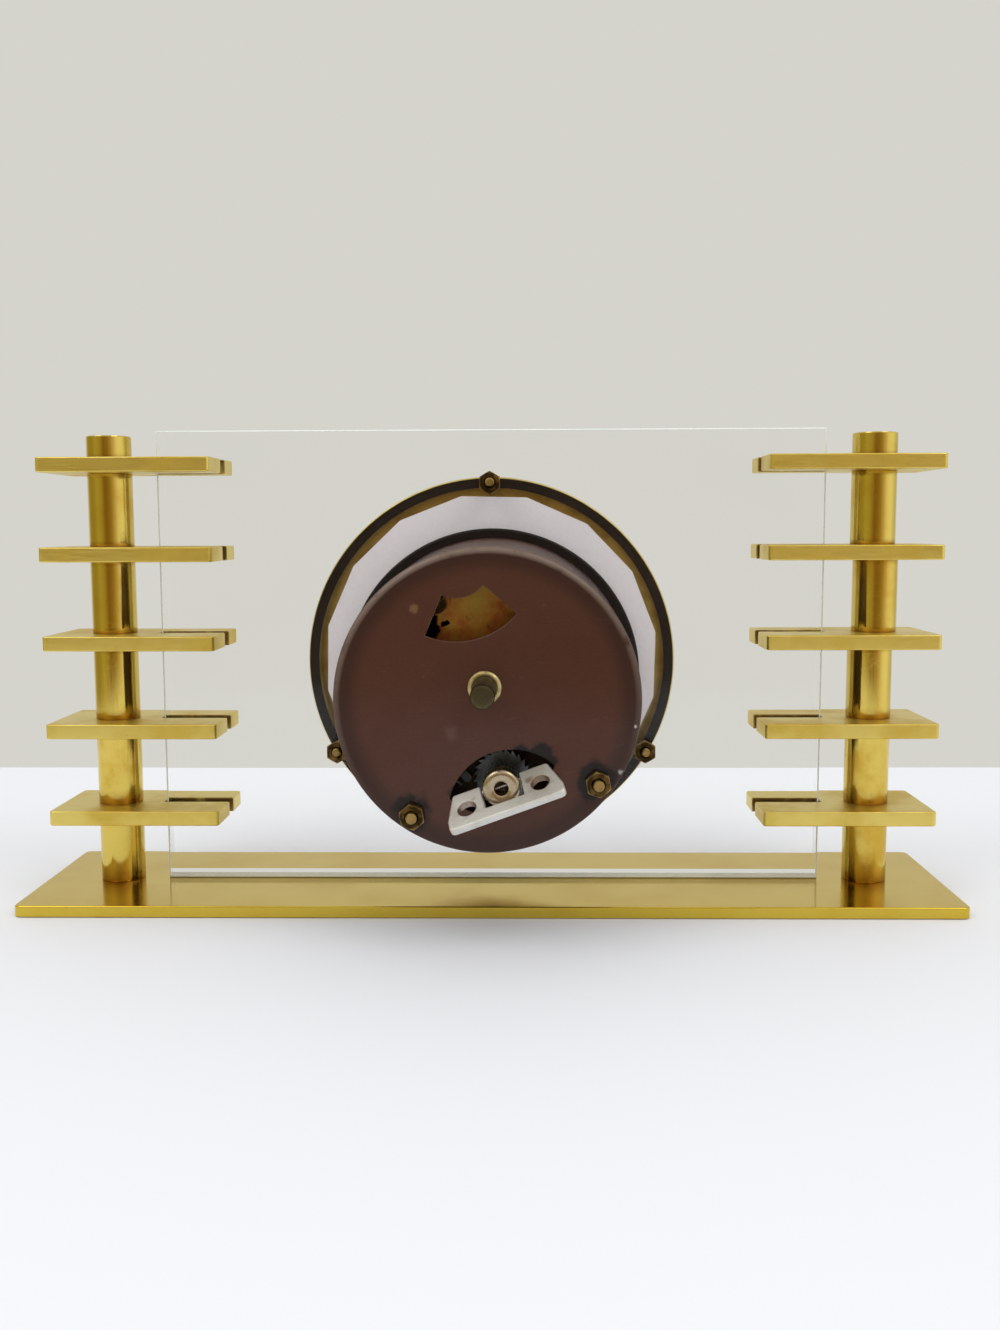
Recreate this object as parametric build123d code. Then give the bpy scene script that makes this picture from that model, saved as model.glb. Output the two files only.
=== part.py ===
from build123d import *
import math
import os

os.makedirs("parts", exist_ok=True)

# Mantel clock: a round clock head on a glass pane, held between two brass columns with five fins each.
# Frame: origin at the middle of the base's underside, +Z up, the dial faces -Y and the winding key +Y.

# Stand
BASE_LENGTH = 250.0
BASE_DEPTH = 57.0
BASE_THICKNESS = 3.0
BASE_CORNER_RADIUS = 2.0
EDGE_SOFTENING = 0.4
COLUMN_INSET = 20.5
COLUMN_RADIUS = 6.0
FIN_COUNT = 5
FIN_LENGTH = 46.3
FIN_DEPTH = 28.6
FIN_THICKNESS = 4.0
FIN_OVERHANG = 15.4
FIN_CORNER_RADIUS = 1.2
FOOT_SPACER_HEIGHT = 18.0
SPACER_HEIGHT = 19.8
CAP_HEIGHT = 6.2
SPACER_BORE_RADIUS = 3.6
SPACER_SLIP = -0.9
SLIPPED_FROM_TOP = 2
BOLT_RADIUS = 2.5
BOLT_HEAD_RADIUS = 4.5
BOLT_HEAD_HEIGHT = 2.0
BOLT_HEAD_RECESS = 0.3
BOLT_GRIP_IN_CAP = 4.0
BOLT_CLEARANCE = 0.2

# Glass pane
PANE_HEIGHT = 124.8
PANE_THICKNESS = 5.0
PANE_SHIFT = -1.5
PANE_EDGE_GAP = 0.4
SLOT_CLEARANCE = 0.5
SLOT_REACH = 12.8

# Clock head on the pane
AXIS_HEIGHT = 64.0
MOVEMENT_TURN = 10.0
DIAL_RADIUS = 46.6
DIAL_EDGE_GAP = 2.7
BEZEL_WALL = 1.9
BEZEL_DEPTH = 8.0
BEZEL_LIP_REACH = 4.3
BEZEL_LIP_THICKNESS = 1.2
BEZEL_STUD_COUNT = 3
BEZEL_STUD_RADIUS = 1.3
BEZEL_STUD_INSET = 1.8
DIAL_GLASS_THICKNESS = 1.6
DIAL_SIDES = 16
DIAL_THICKNESS = 0.8
DIAL_FOOT_CIRCLE = 30.0
DIAL_FOOT_RADIUS = 1.2
DIAL_FOOT_ANGLES = (30.0, 150.0, 270.0)
STUD_CLEARANCE = 0.4
NUT_ACROSS_FLATS = 5.5
NUT_HEIGHT = 2.4
NUT_THREAD_END = 1.4

# Hands
MINUTE_HAND_LENGTH = 38.0
MINUTE_HAND_WIDTH = 3.0
HOUR_HAND_LENGTH = 26.0
HOUR_HAND_WIDTH = 4.0
HAND_TIP_SHARE = 0.35
HAND_TAIL = 7.0
HAND_THICKNESS = 0.5
HAND_BOSS_WALL = 1.6
MINUTE_HAND_TURN = 60.0
HOUR_HAND_TURN = -55.0
HAND_SPACE = 0.7

# Can round the movement
CAN_DROP = 3.4
CAN_REAR_RADIUS = 35.2
CAN_FRONT_RADIUS = 37.8
CAN_BEAD_RADIUS = 1.1
CAN_WALL = 0.8
RING_RADIUS = 40.4
RING_HOLE_RADIUS = 23.0
RING_THICKNESS = 2.0
WINDOW_CENTRE = (-1.4, 30.2)
WINDOW_INNER_RADIUS = 8.5
WINDOW_OUTER_RADIUS = 18.7
WINDOW_HALF_ANGLE = 36.0
WINDOW_TURN = 3.4
OPENING_LENGTH = 26.0
OPENING_HEIGHT = 15.0
OPENING_TURN = 8.0
BUSH_RADIUS = 4.0
BUSH_BORE_RADIUS = 2.4
BUSH_FLANGE = 1.2
STUD_CIRCLE = 32.4
STUD_HALF_ANGLE = 43.4
STUD_RADIUS = 1.4

# Movement frame
PLATE_RADIUS = 34.2
PLATE_THICKNESS = 1.5
MOTION_SPACE = 13.0
PLATE_GAP = 28.5
REAR_SPACE = 7.7
PILLAR_RADIUS = 2.0
PILLAR_CIRCLE = 31.0
PILLAR_ANGLES = (15.0, 75.0, 165.0)
RUNNING_CLEARANCE = 0.05
FACE_CLEARANCE = 0.3

# Gear teeth, as shares of the module or of the tooth pitch
ADDENDUM = 0.85
DEDENDUM = 1.25
WHEEL_ROOT_SHARE = 0.56
WHEEL_TIP_SHARE = 0.20
PINION_ROOT_SHARE = 0.44
PINION_TIP_SHARE = 0.16
SPOKE_WIDTH = 1.6
WHEEL_RIM = 1.5
WHEEL_HUB_RADIUS = 2.8

# Going train: teeth, modules and the directions from each arbor to the next
BARREL_TEETH = 60
BARREL_MODULE = 0.48
BARREL_DROP = 22.9
SECOND_PINION_TEETH = 10
SECOND_DIRECTION = 130.0
SECOND_WHEEL_TEETH = 50
CENTRE_PINION_TEETH = 10
CENTRE_WHEEL_TEETH = 60
CENTRE_MODULE = 0.40
THIRD_PINION_TEETH = 8
THIRD_DIRECTION = 20.0
THIRD_WHEEL_TEETH = 56
THIRD_MODULE = 0.36
FOURTH_PINION_TEETH = 7
FOURTH_DIRECTION = 90.0
FOURTH_WHEEL_TEETH = 56
FOURTH_MODULE = 0.30
ESCAPE_PINION_TEETH = 7
ESCAPE_DIRECTION = 195.0
TRAIN_ARBOR_RADIUS = 0.7
TRAIN_WHEEL_THICKNESS = 1.0
PINION_OVERLAP = 0.8

# Distances of the train's wheels behind the front plate
SECOND_WHEEL_LEVEL = 1.4
GREAT_WHEEL_LEVEL = 4.0
FOURTH_WHEEL_LEVEL = 10.5
THIRD_WHEEL_LEVEL = 16.0
CENTRE_WHEEL_LEVEL = 21.0
BALANCE_LEVEL = 19.3
ESCAPE_WHEEL_LEVEL = 23.6
LEVER_LEVEL = 24.8
HAIRSPRING_LEVEL = 26.6

# Barrel, mainspring and winding work
GREAT_WHEEL_THICKNESS = 2.0
BARREL_RADIUS = 12.8
BARREL_HEIGHT = 13.5
BARREL_WALL = 0.9
BARREL_COVER_THICKNESS = 1.0
WINDING_ARBOR_RADIUS = 2.0
SPRING_STRIP = 0.5
SPRING_TURNS = 6
RATCHET_TEETH = 24
RATCHET_RADIUS = 7.0
RATCHET_TOOTH_DEPTH = 1.0
RATCHET_THICKNESS = 1.4
CLICK_PIVOT = (-11.0, 5.5)
CLICK_PIVOT_RADIUS = 1.2
CLICK_EYE_RADIUS = 2.4
CLICK_WIDTH = 2.0
CLICK_THICKNESS = 1.2
CLICK_CLEARANCE = 0.35
CLICK_REACH_TURN = 18.0
CLICK_SPRING_WIDTH = 0.5
CLICK_LIFT_SPACE = 1.0

# Escapement
ESCAPE_TEETH = 15
ESCAPE_RADIUS = 4.4
ESCAPE_TOOTH_DEPTH = 1.2
BALANCE_CENTRE = (-8.0, 21.0)
BALANCE_RADIUS = 7.5
BALANCE_RIM = 1.2
BALANCE_THICKNESS = 2.0
BALANCE_STAFF_RADIUS = 0.6
LEVER_TO_BALANCE = 8.4
LEVER_WIDTH = 1.4
LEVER_THICKNESS = 0.8
PALLET_PIN_RADIUS = 0.35
PALLET_HALF_ANGLE = 42.0
PALLET_CLEARANCE = 0.55
FORK_WIDTH = 2.8
FORK_SLOT = 1.1
FORK_SLOT_DEPTH = 1.5
ROLLER_RADIUS = 2.4
ROLLER_THICKNESS = 0.8
IMPULSE_PIN_CIRCLE = 1.9
IMPULSE_PIN_RADIUS = 0.3
HAIRSPRING_TURNS = 4
HAIRSPRING_PITCH = 0.8
HAIRSPRING_STRIP = 0.2
HAIRSPRING_HEIGHT = 1.0
COLLET_RADIUS = 1.2
REGULATOR_EYE_RADIUS = 3.2
REGULATOR_TAIL = 13.0
REGULATOR_WIDTH = 1.8
REGULATOR_TIP_WIDTH = 0.8
REGULATOR_THICKNESS = 0.8
REGULATOR_DIRECTION = 263.0
REGULATOR_SWING = 15.0
CURB_PIN_RADIUS = 0.3
CURB_PIN_CIRCLE = 5.2
PIVOT_SCREW_RADIUS = 1.6
PIVOT_SCREW_HEAD_RADIUS = 2.4
PIVOT_SCREW_HEAD_HEIGHT = 1.0

# Motion work behind the dial
MOTION_DISTANCE = 9.6
MOTION_DIRECTION = 150.0
CANNON_TEETH = 12
MINUTE_WHEEL_TEETH = 36
MINUTE_PINION_TEETH = 10
HOUR_WHEEL_TEETH = 40
MOTION_WHEEL_THICKNESS = 1.2
MOTION_LEVEL_STEP = 2.6
CENTRE_ARBOR_RADIUS = 1.5
HAND_ARBOR_RADIUS = 1.0
CANNON_PIPE_RADIUS = 1.7
HOUR_PIPE_RADIUS = 2.5
PANE_BORE_RADIUS = 5.0
DIAL_BORE_RADIUS = 2.9

# Hand setting knob
KNOB_RADIUS = 2.8
KNOB_LENGTH = 16.0
KNOB_EDGE = 0.6

# Winding key
KEY_HUB_RADIUS = 4.4
KEY_HUB_LENGTH = 6.0
KEY_HUB_GAP = 1.0
KEY_HUB_BORE_RADIUS = 1.5
KEY_HUB_BORE_DEPTH = 2.5
KEY_HUB_CHAMFER = 0.5
KEY_HINGE_HEIGHT = 3.0
KEY_PIN_RADIUS = 0.55
KEY_PIN_LENGTH = 15.0
KEY_TURN = 20.0
KEY_DROOP = 33.0
WING_TOP_WIDTH = 23.4
WING_WIDTH = 28.0
WING_FLARE_END = 6.2
WING_TOP_MARGIN = 1.5
WING_LENGTH = 9.3
WING_THICKNESS = 2.0
WING_CORNER_RADIUS = 3.0
WING_NOTCH_HALF_WIDTH = 4.75
WING_NOTCH_DEPTH = 5.8
WING_HOLE_RADIUS = 2.15
WING_HOLE_SPREAD = 8.95
WING_HOLE_REACH = 4.1

STANDING = (Align.CENTER, Align.CENTER, Align.MIN)
NODES = {}

# Places of the clock head: local x to the right and y up as seen from behind, z towards the rear
HEAD = Plane(origin=(0, 0, AXIS_HEIGHT), x_dir=(-1, 0, 0), z_dir=(0, 1, 0)).location
MOVEMENT = HEAD * Rot(Z=MOVEMENT_TURN)


def polar(radius, angle, start=(0.0, 0.0)):
    """Point at a distance and direction from a start point."""
    turn = math.radians(angle)
    return (start[0] + radius * math.cos(turn), start[1] + radius * math.sin(turn))


def direction(start, end):
    """Direction from one point to another, in degrees."""
    return math.degrees(math.atan2(end[1] - start[1], end[0] - start[0]))


def rod(radius, start, end, at=(0.0, 0.0)):
    """Round bar between two depths."""
    return Pos(at[0], at[1], start) * Cylinder(radius, end - start, align=STANDING)


def slab(outline, start, end, at=(0.0, 0.0)):
    """Flat outline made solid between two depths."""
    return extrude(Pos(at[0], at[1], start) * outline, amount=end - start)


def tube(outer, bore, start, end, at=(0.0, 0.0)):
    """Round bar with a bore."""
    return slab(Circle(outer) - Circle(bore), start, end, at)


def bar(start, end, width):
    """Flat strip with round ends between two points."""
    middle = ((start[0] + end[0]) / 2, (start[1] + end[1]) / 2)
    strip = SlotCenterToCenter(math.dist(start, end), width)
    return Pos(*middle) * Rot(Z=direction(start, end)) * strip


def hex_nut(bore, start, at):
    """Hexagon nut, its flats along the local x axis."""
    outline = RegularPolygon(NUT_ACROSS_FLATS / 2, 6, major_radius=False) - Circle(bore)
    return slab(outline, start, start + NUT_HEIGHT, at)


def toothed(teeth, module, root_share, tip_share, phase):
    """Flat-flanked gear outline with one tooth centred on the phase direction."""
    step = 360 / teeth
    tip = module * (teeth / 2 + ADDENDUM)
    root = module * (teeth / 2 - DEDENDUM)
    corners = ((root, -root_share), (tip, -tip_share), (tip, tip_share), (root, root_share))
    points = []
    for tooth in range(teeth):
        for radius, share in corners:
            points.append(polar(radius, phase + step * (tooth + share / 2)))
    return Polygon(*points, align=None)


def wheel_outline(teeth, module, phase=0.0):
    """Toothed wheel crossed out to four spokes."""
    gear = toothed(teeth, module, WHEEL_ROOT_SHARE, WHEEL_TIP_SHARE, phase)
    inside = module * (teeth / 2 - DEDENDUM) - WHEEL_RIM
    cross = Rectangle(2 * inside, SPOKE_WIDTH) + Rectangle(SPOKE_WIDTH, 2 * inside)
    return gear - (Circle(inside) - Circle(WHEEL_HUB_RADIUS) - cross)


def pinion_outline(teeth, module, phase):
    """Small gear with narrow leaves."""
    return toothed(teeth, module, PINION_ROOT_SHARE, PINION_TIP_SHARE, phase)


def meshed_phase(wheel_at, wheel_teeth, wheel_phase, pinion_at, pinion_teeth):
    """Direction of a pinion's leaf that lets it mesh with the wheel beside it."""
    line = direction(wheel_at, pinion_at)
    into_pitch = (line - wheel_phase) * wheel_teeth / 360
    return line + 180 - (0.5 - into_pitch) * 360 / pinion_teeth


def spiral_strip(inner_radius, pitch, turns, strip):
    """Flat spiral of half circles whose centres alternate about the middle."""
    outside = []
    inside = []
    for half in range(2 * turns):
        radius = inner_radius + half * pitch / 2
        centre = 0 if half % 2 == 0 else pitch / 2
        side = 1 if half % 2 == 0 else -1
        for edges, offset in ((outside, strip / 2), (inside, -strip / 2)):
            reach = radius + offset
            start = (centre + side * reach, 0)
            crown = (centre, side * reach)
            end = (centre - side * reach, 0)
            edges.append(ThreePointArc(start, crown, end))
    first_cap = Line(inside[0] @ 0, outside[0] @ 0)
    last_cap = Line(inside[-1] @ 1, outside[-1] @ 1)
    return make_face([*outside, *inside, first_cap, last_cap])


def in_head(shape):
    """Shape of the upright clock head, set in the model's frame."""
    return HEAD * shape


def in_movement(shape):
    """Shape of the turned movement, set in the model's frame."""
    return MOVEMENT * shape


def group(solids):
    """Alike solids that share one node."""
    return Compound([solid for shape in solids for solid in shape.solids()])


# Depths, from the front to the rear
pane_front = PANE_SHIFT - PANE_THICKNESS / 2
pane_rear = PANE_SHIFT + PANE_THICKNESS / 2
ring_rear = pane_rear + RING_THICKNESS
front_plate_front = ring_rear + MOTION_SPACE
front_plate_rear = front_plate_front + PLATE_THICKNESS
back_plate_front = front_plate_rear + PLATE_GAP
back_plate_rear = back_plate_front + PLATE_THICKNESS
can_floor = back_plate_rear + REAR_SPACE
can_rear = can_floor + CAN_WALL
pivot_front = front_plate_front + FACE_CLEARANCE
pivot_rear = back_plate_rear - FACE_CLEARANCE
dial_front = pane_front - DIAL_THICKNESS
bezel_front = pane_front - BEZEL_DEPTH
dial_glass_front = bezel_front + BEZEL_LIP_THICKNESS
dial_glass_rear = dial_glass_front + DIAL_GLASS_THICKNESS

# Arbors of the movement, seen from behind
barrel_at = (0.0, -BARREL_DROP)
second_distance = BARREL_MODULE * (BARREL_TEETH + SECOND_PINION_TEETH) / 2
second_at = polar(second_distance, SECOND_DIRECTION, barrel_at)
second_module = 2 * math.hypot(*second_at) / (SECOND_WHEEL_TEETH + CENTRE_PINION_TEETH)
centre_at = (0.0, 0.0)
third_at = polar(CENTRE_MODULE * (CENTRE_WHEEL_TEETH + THIRD_PINION_TEETH) / 2, THIRD_DIRECTION)
fourth_distance = THIRD_MODULE * (THIRD_WHEEL_TEETH + FOURTH_PINION_TEETH) / 2
fourth_at = polar(fourth_distance, FOURTH_DIRECTION, third_at)
escape_distance = FOURTH_MODULE * (FOURTH_WHEEL_TEETH + ESCAPE_PINION_TEETH) / 2
escape_at = polar(escape_distance, ESCAPE_DIRECTION, fourth_at)
lever_line = direction(escape_at, BALANCE_CENTRE)
lever_at = polar(-LEVER_TO_BALANCE, lever_line, BALANCE_CENTRE)
motion_at = polar(MOTION_DISTANCE, MOTION_DIRECTION)
can_at = (0.0, -CAN_DROP)
pillar_places = [polar(PILLAR_CIRCLE, angle, can_at) for angle in PILLAR_ANGLES]
stud_places = [polar(STUD_CIRCLE, 270 + side * STUD_HALF_ANGLE, can_at) for side in (-1, 1)]
dial_foot_places = [polar(DIAL_FOOT_CIRCLE, angle) for angle in DIAL_FOOT_ANGLES]
bezel_bore = DIAL_RADIUS + DIAL_EDGE_GAP
bezel_radius = bezel_bore + BEZEL_WALL
bezel_stud_circle = bezel_radius - BEZEL_STUD_INSET
bezel_stud_places = [
    polar(bezel_stud_circle, 90 + 360 * index / BEZEL_STUD_COUNT) for index in range(BEZEL_STUD_COUNT)
]

# Base plate, with countersunk holes for the column bolts
column_x = BASE_LENGTH / 2 - COLUMN_INSET
base = Box(BASE_LENGTH, BASE_DEPTH, BASE_THICKNESS, align=STANDING)
base = fillet(base.edges().filter_by(Axis.Z), BASE_CORNER_RADIUS)
base = chamfer(base.faces().sort_by(Axis.Z)[-1].edges(), EDGE_SOFTENING)
for side in (-1, 1):
    countersink = Cone(
        BOLT_HEAD_RADIUS + BOLT_CLEARANCE,
        BOLT_RADIUS + BOLT_CLEARANCE,
        BOLT_HEAD_HEIGHT,
        align=STANDING,
    )
    base -= Pos(side * column_x, 0, BOLT_HEAD_RECESS) * countersink
    base -= rod(BOLT_HEAD_RADIUS + BOLT_CLEARANCE, 0, BOLT_HEAD_RECESS, (side * column_x, 0))
    base -= rod(BOLT_RADIUS + BOLT_CLEARANCE, 0, BASE_THICKNESS, (side * column_x, 0))
NODES["base_plate"] = base

# Columns: spacers, fins and cap stacked on one bolt
fin_pitch = SPACER_HEIGHT + FIN_THICKNESS
first_fin = BASE_THICKNESS + FOOT_SPACER_HEIGHT
fin_heights = [first_fin + fin_pitch * index for index in range(FIN_COUNT)]
cap_bottom = fin_heights[-1] + FIN_THICKNESS
fin_middle = column_x + FIN_OVERHANG - FIN_LENGTH / 2
slot_width = PANE_THICKNESS + 2 * SLOT_CLEARANCE
slot_end = column_x - SLOT_REACH
pane_width = 2 * (slot_end - PANE_EDGE_GAP)
bolt_top = cap_bottom + BOLT_GRIP_IN_CAP


def column_bolt(side):
    """Countersunk bolt that clamps a column's stack from below the base."""
    shank = rod(BOLT_RADIUS, BOLT_HEAD_RECESS, bolt_top)
    head = Pos(0, 0, BOLT_HEAD_RECESS) * Cone(
        BOLT_HEAD_RADIUS, BOLT_RADIUS, BOLT_HEAD_HEIGHT, align=STANDING
    )
    return Pos(side * column_x, 0, 0) * (shank + head)


def spacers(side, slipped):
    """Spacer tubes of a column, the slipped one a little off the bolt's axis."""
    tubes = []
    bottoms = [BASE_THICKNESS] + [height + FIN_THICKNESS for height in fin_heights[:-1]]
    for index, bottom in enumerate(bottoms):
        slip = SPACER_SLIP if index == slipped else 0
        top = fin_heights[index]
        tubes.append(tube(COLUMN_RADIUS, SPACER_BORE_RADIUS, bottom, top, (side * column_x + slip, 0)))
    return group(tubes)


def fin(side, height):
    """Brass fin with a bolt hole and a slot for the pane's edge."""
    top = height + FIN_THICKNESS
    outline = RectangleRounded(FIN_LENGTH, FIN_DEPTH, FIN_CORNER_RADIUS)
    plate = slab(outline, height, top, (side * fin_middle, 0))
    plate = chamfer(plate.faces().filter_by(Axis.Z).edges(), EDGE_SOFTENING)
    slot_length = slot_end - (fin_middle - FIN_LENGTH / 2)
    slot_middle = slot_end - slot_length / 2
    slot = Box(slot_length, slot_width, FIN_THICKNESS, align=STANDING)
    plate -= Pos(side * slot_middle, PANE_SHIFT, height) * slot
    return plate - rod(BOLT_RADIUS + BOLT_CLEARANCE, height, top, (side * column_x, 0))


def cap(side):
    """Column cap with a blind threaded hole."""
    body = rod(COLUMN_RADIUS, cap_bottom, cap_bottom + CAP_HEIGHT, (side * column_x, 0))
    body = chamfer(body.faces().sort_by(Axis.Z)[-1].edges(), EDGE_SOFTENING)
    return body - rod(BOLT_RADIUS, cap_bottom, bolt_top, (side * column_x, 0))


NODES["column_bolts"] = group([column_bolt(side) for side in (-1, 1)])
for name, side, slipped in (("left", 1, None), ("right", -1, FIN_COUNT - SLIPPED_FROM_TOP)):
    NODES[f"{name}_spacers"] = spacers(side, slipped)
    NODES[f"{name}_cap"] = cap(side)
    for index, height in enumerate(fin_heights):
        NODES[f"{name}_fin_{index + 1}"] = fin(side, height)

# Glass pane, drilled for the hands' pipe, the dial's feet and the bezel's studs
pane_box = Box(pane_width, PANE_THICKNESS, PANE_HEIGHT, align=STANDING)
pane = Pos(0, PANE_SHIFT, BASE_THICKNESS) * chamfer(pane_box.edges().filter_by(Axis.X), EDGE_SOFTENING)
pane -= in_head(rod(PANE_BORE_RADIUS, pane_front, pane_rear))
for place in bezel_stud_places:
    pane -= in_head(rod(BEZEL_STUD_RADIUS + STUD_CLEARANCE, pane_front, pane_rear, place))
for place in dial_foot_places:
    pane -= in_movement(rod(DIAL_FOOT_RADIUS + STUD_CLEARANCE, pane_front, pane_rear, place))
NODES["glass_pane"] = pane

# Bezel: a deep ring with an inner lip for the dial glass, and three studs through the pane
bezel = rod(bezel_radius, bezel_front, pane_front)
bezel = fillet(bezel.faces().sort_by(Axis.Z)[0].edges(), BEZEL_LIP_THICKNESS)
bezel -= rod(bezel_bore, dial_glass_front, pane_front)
bezel -= rod(bezel_bore - BEZEL_LIP_REACH, bezel_front, pane_front)
stud_end = pane_rear + NUT_HEIGHT + NUT_THREAD_END
for place in bezel_stud_places:
    bezel += rod(BEZEL_STUD_RADIUS, dial_glass_rear, stud_end, place)
NODES["bezel"] = in_head(bezel)
NODES["bezel_nuts"] = group(
    [in_head(hex_nut(BEZEL_STUD_RADIUS, pane_rear, place)) for place in bezel_stud_places]
)
NODES["dial_glass"] = in_head(rod(bezel_bore - FACE_CLEARANCE, dial_glass_front, dial_glass_rear))

# Dial with its feet, cut to a many-sided outline
dial = slab(RegularPolygon(DIAL_RADIUS, DIAL_SIDES) - Circle(DIAL_BORE_RADIUS), dial_front, pane_front)
for place in dial_foot_places:
    dial += rod(DIAL_FOOT_RADIUS, pane_front, ring_rear + NUT_HEIGHT + NUT_THREAD_END, place)
NODES["dial"] = in_movement(dial)
NODES["dial_nuts"] = group(
    [in_movement(hex_nut(DIAL_FOOT_RADIUS, ring_rear, place)) for place in dial_foot_places]
)

# Hands on their pipes
hour_hand_rear = dial_front - HAND_SPACE
hour_hand_front = hour_hand_rear - HAND_THICKNESS
minute_hand_rear = hour_hand_front - HAND_SPACE
minute_hand_front = minute_hand_rear - HAND_THICKNESS


def hand_outline(length, width, bore):
    """Tapered hand with a round boss and a short tail, pointing up."""
    tip = width * HAND_TIP_SHARE / 2
    blade = Polygon(
        (width / 2, 0), (tip, length), (-tip, length), (-width / 2, 0), (-tip, -HAND_TAIL), (tip, -HAND_TAIL),
        align=None,
    )
    return blade + Circle(bore + HAND_BOSS_WALL) - Circle(bore)


minute_blade = Rot(Z=MINUTE_HAND_TURN) * hand_outline(
    MINUTE_HAND_LENGTH, MINUTE_HAND_WIDTH, CANNON_PIPE_RADIUS
)
hour_blade = Rot(Z=HOUR_HAND_TURN) * hand_outline(HOUR_HAND_LENGTH, HOUR_HAND_WIDTH, HOUR_PIPE_RADIUS)
NODES["minute_hand"] = in_head(slab(minute_blade, minute_hand_front, minute_hand_rear))
NODES["hour_hand"] = in_head(slab(hour_blade, hour_hand_front, hour_hand_rear))

# Mounting ring: the can's black front rim, clamped to the pane by the dial's feet
ring = tube(RING_RADIUS, RING_HOLE_RADIUS, pane_rear, ring_rear, can_at)
for place in dial_foot_places:
    ring -= rod(DIAL_FOOT_RADIUS + RUNNING_CLEARANCE, pane_rear, ring_rear, place)
NODES["mounting_ring"] = in_movement(ring)

# Can: a tapered cup with a rolled bead, a regulator window, a winding opening and an eyelet
can_length = can_rear - ring_rear
cup = Cone(CAN_FRONT_RADIUS, CAN_REAR_RADIUS, can_length, align=STANDING)
cup += Pos(0, 0, can_length - CAN_BEAD_RADIUS) * Torus(CAN_REAR_RADIUS, CAN_BEAD_RADIUS)
cup -= Cone(
    CAN_FRONT_RADIUS - CAN_WALL, CAN_REAR_RADIUS - CAN_BEAD_RADIUS, can_length - CAN_WALL, align=STANDING
)
can = Pos(*can_at, ring_rear) * cup
window_ring = Circle(WINDOW_OUTER_RADIUS) - Circle(WINDOW_INNER_RADIUS)
window_wedge = Polygon(
    (0, 0),
    polar(2 * WINDOW_OUTER_RADIUS, 270 + WINDOW_TURN - WINDOW_HALF_ANGLE),
    polar(2 * WINDOW_OUTER_RADIUS, 270 + WINDOW_TURN + WINDOW_HALF_ANGLE),
    align=None,
)
can -= slab(window_ring & window_wedge, can_floor, can_rear, WINDOW_CENTRE)
lens_radius = (OPENING_LENGTH ** 2 + OPENING_HEIGHT ** 2) / (4 * OPENING_HEIGHT)
lens_shift = lens_radius - OPENING_HEIGHT / 2
lens = (Pos(0, lens_shift) * Circle(lens_radius)) & (Pos(0, -lens_shift) * Circle(lens_radius))
can -= slab(Rot(Z=OPENING_TURN) * lens, can_floor, can_rear, barrel_at)
can -= rod(BUSH_RADIUS - BUSH_FLANGE, can_floor, can_rear)
for place in stud_places:
    can -= rod(STUD_RADIUS + STUD_CLEARANCE, can_floor, can_rear, place)
NODES["movement_can"] = in_movement(can)
eyelet = tube(BUSH_RADIUS, BUSH_BORE_RADIUS, can_rear, can_rear + CAN_WALL)
eyelet += tube(BUSH_RADIUS - BUSH_FLANGE, BUSH_BORE_RADIUS, can_floor, can_rear)
NODES["setting_eyelet"] = in_movement(eyelet)

# Studs that run through the movement and hold the can
stud_tail = can_rear + NUT_HEIGHT + NUT_THREAD_END
NODES["can_studs"] = group([in_movement(rod(STUD_RADIUS, ring_rear, stud_tail, place)) for place in stud_places])
NODES["can_nuts"] = group([in_movement(hex_nut(STUD_RADIUS, can_rear, place)) for place in stud_places])

# Plates, pillars and front posts
train_places = [second_at, third_at, fourth_at, escape_at, lever_at]


def plate(start):
    """Round movement plate with holes for the studs and the train's pivots."""
    end = start + PLATE_THICKNESS
    sheet = rod(PLATE_RADIUS, start, end, can_at)
    for place in stud_places:
        sheet -= rod(STUD_RADIUS + RUNNING_CLEARANCE, start, end, place)
    for place in train_places:
        sheet -= rod(TRAIN_ARBOR_RADIUS + RUNNING_CLEARANCE, start, end, place)
    sheet -= rod(WINDING_ARBOR_RADIUS + RUNNING_CLEARANCE, start, end, barrel_at)
    return sheet - rod(CENTRE_ARBOR_RADIUS + RUNNING_CLEARANCE, start, end)


front_plate = plate(front_plate_front)
front_plate -= rod(
    BALANCE_STAFF_RADIUS + RUNNING_CLEARANCE, front_plate_front, front_plate_rear, BALANCE_CENTRE
)
front_plate -= rod(TRAIN_ARBOR_RADIUS + RUNNING_CLEARANCE, front_plate_front, front_plate_rear, motion_at)
NODES["front_plate"] = in_movement(front_plate)
slot_inner = CURB_PIN_CIRCLE - 2 * CURB_PIN_RADIUS
slot_outer = CURB_PIN_CIRCLE + 2 * CURB_PIN_RADIUS
curb_reach = 2 * slot_outer
curb_wedge = Polygon(
    (0, 0),
    polar(curb_reach, REGULATOR_DIRECTION - 2 * REGULATOR_SWING),
    polar(curb_reach, REGULATOR_DIRECTION + 2 * REGULATOR_SWING),
    align=None,
)
curb_slot = (Circle(slot_outer) - Circle(slot_inner)) & curb_wedge
back_plate = plate(back_plate_front)
back_plate -= rod(PIVOT_SCREW_RADIUS, back_plate_front, back_plate_rear, BALANCE_CENTRE)
back_plate -= slab(curb_slot, back_plate_front, back_plate_rear, BALANCE_CENTRE)
click_at = (barrel_at[0] + CLICK_PIVOT[0], barrel_at[1] + CLICK_PIVOT[1])
click_front = back_plate_rear + FACE_CLEARANCE
click_post_end = click_front + CLICK_THICKNESS + FACE_CLEARANCE
back_plate += rod(CLICK_PIVOT_RADIUS, back_plate_rear, click_post_end, click_at)
NODES["back_plate"] = in_movement(back_plate)
NODES["pillars"] = group(
    [in_movement(rod(PILLAR_RADIUS, front_plate_rear, back_plate_front, place)) for place in pillar_places]
)
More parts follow.
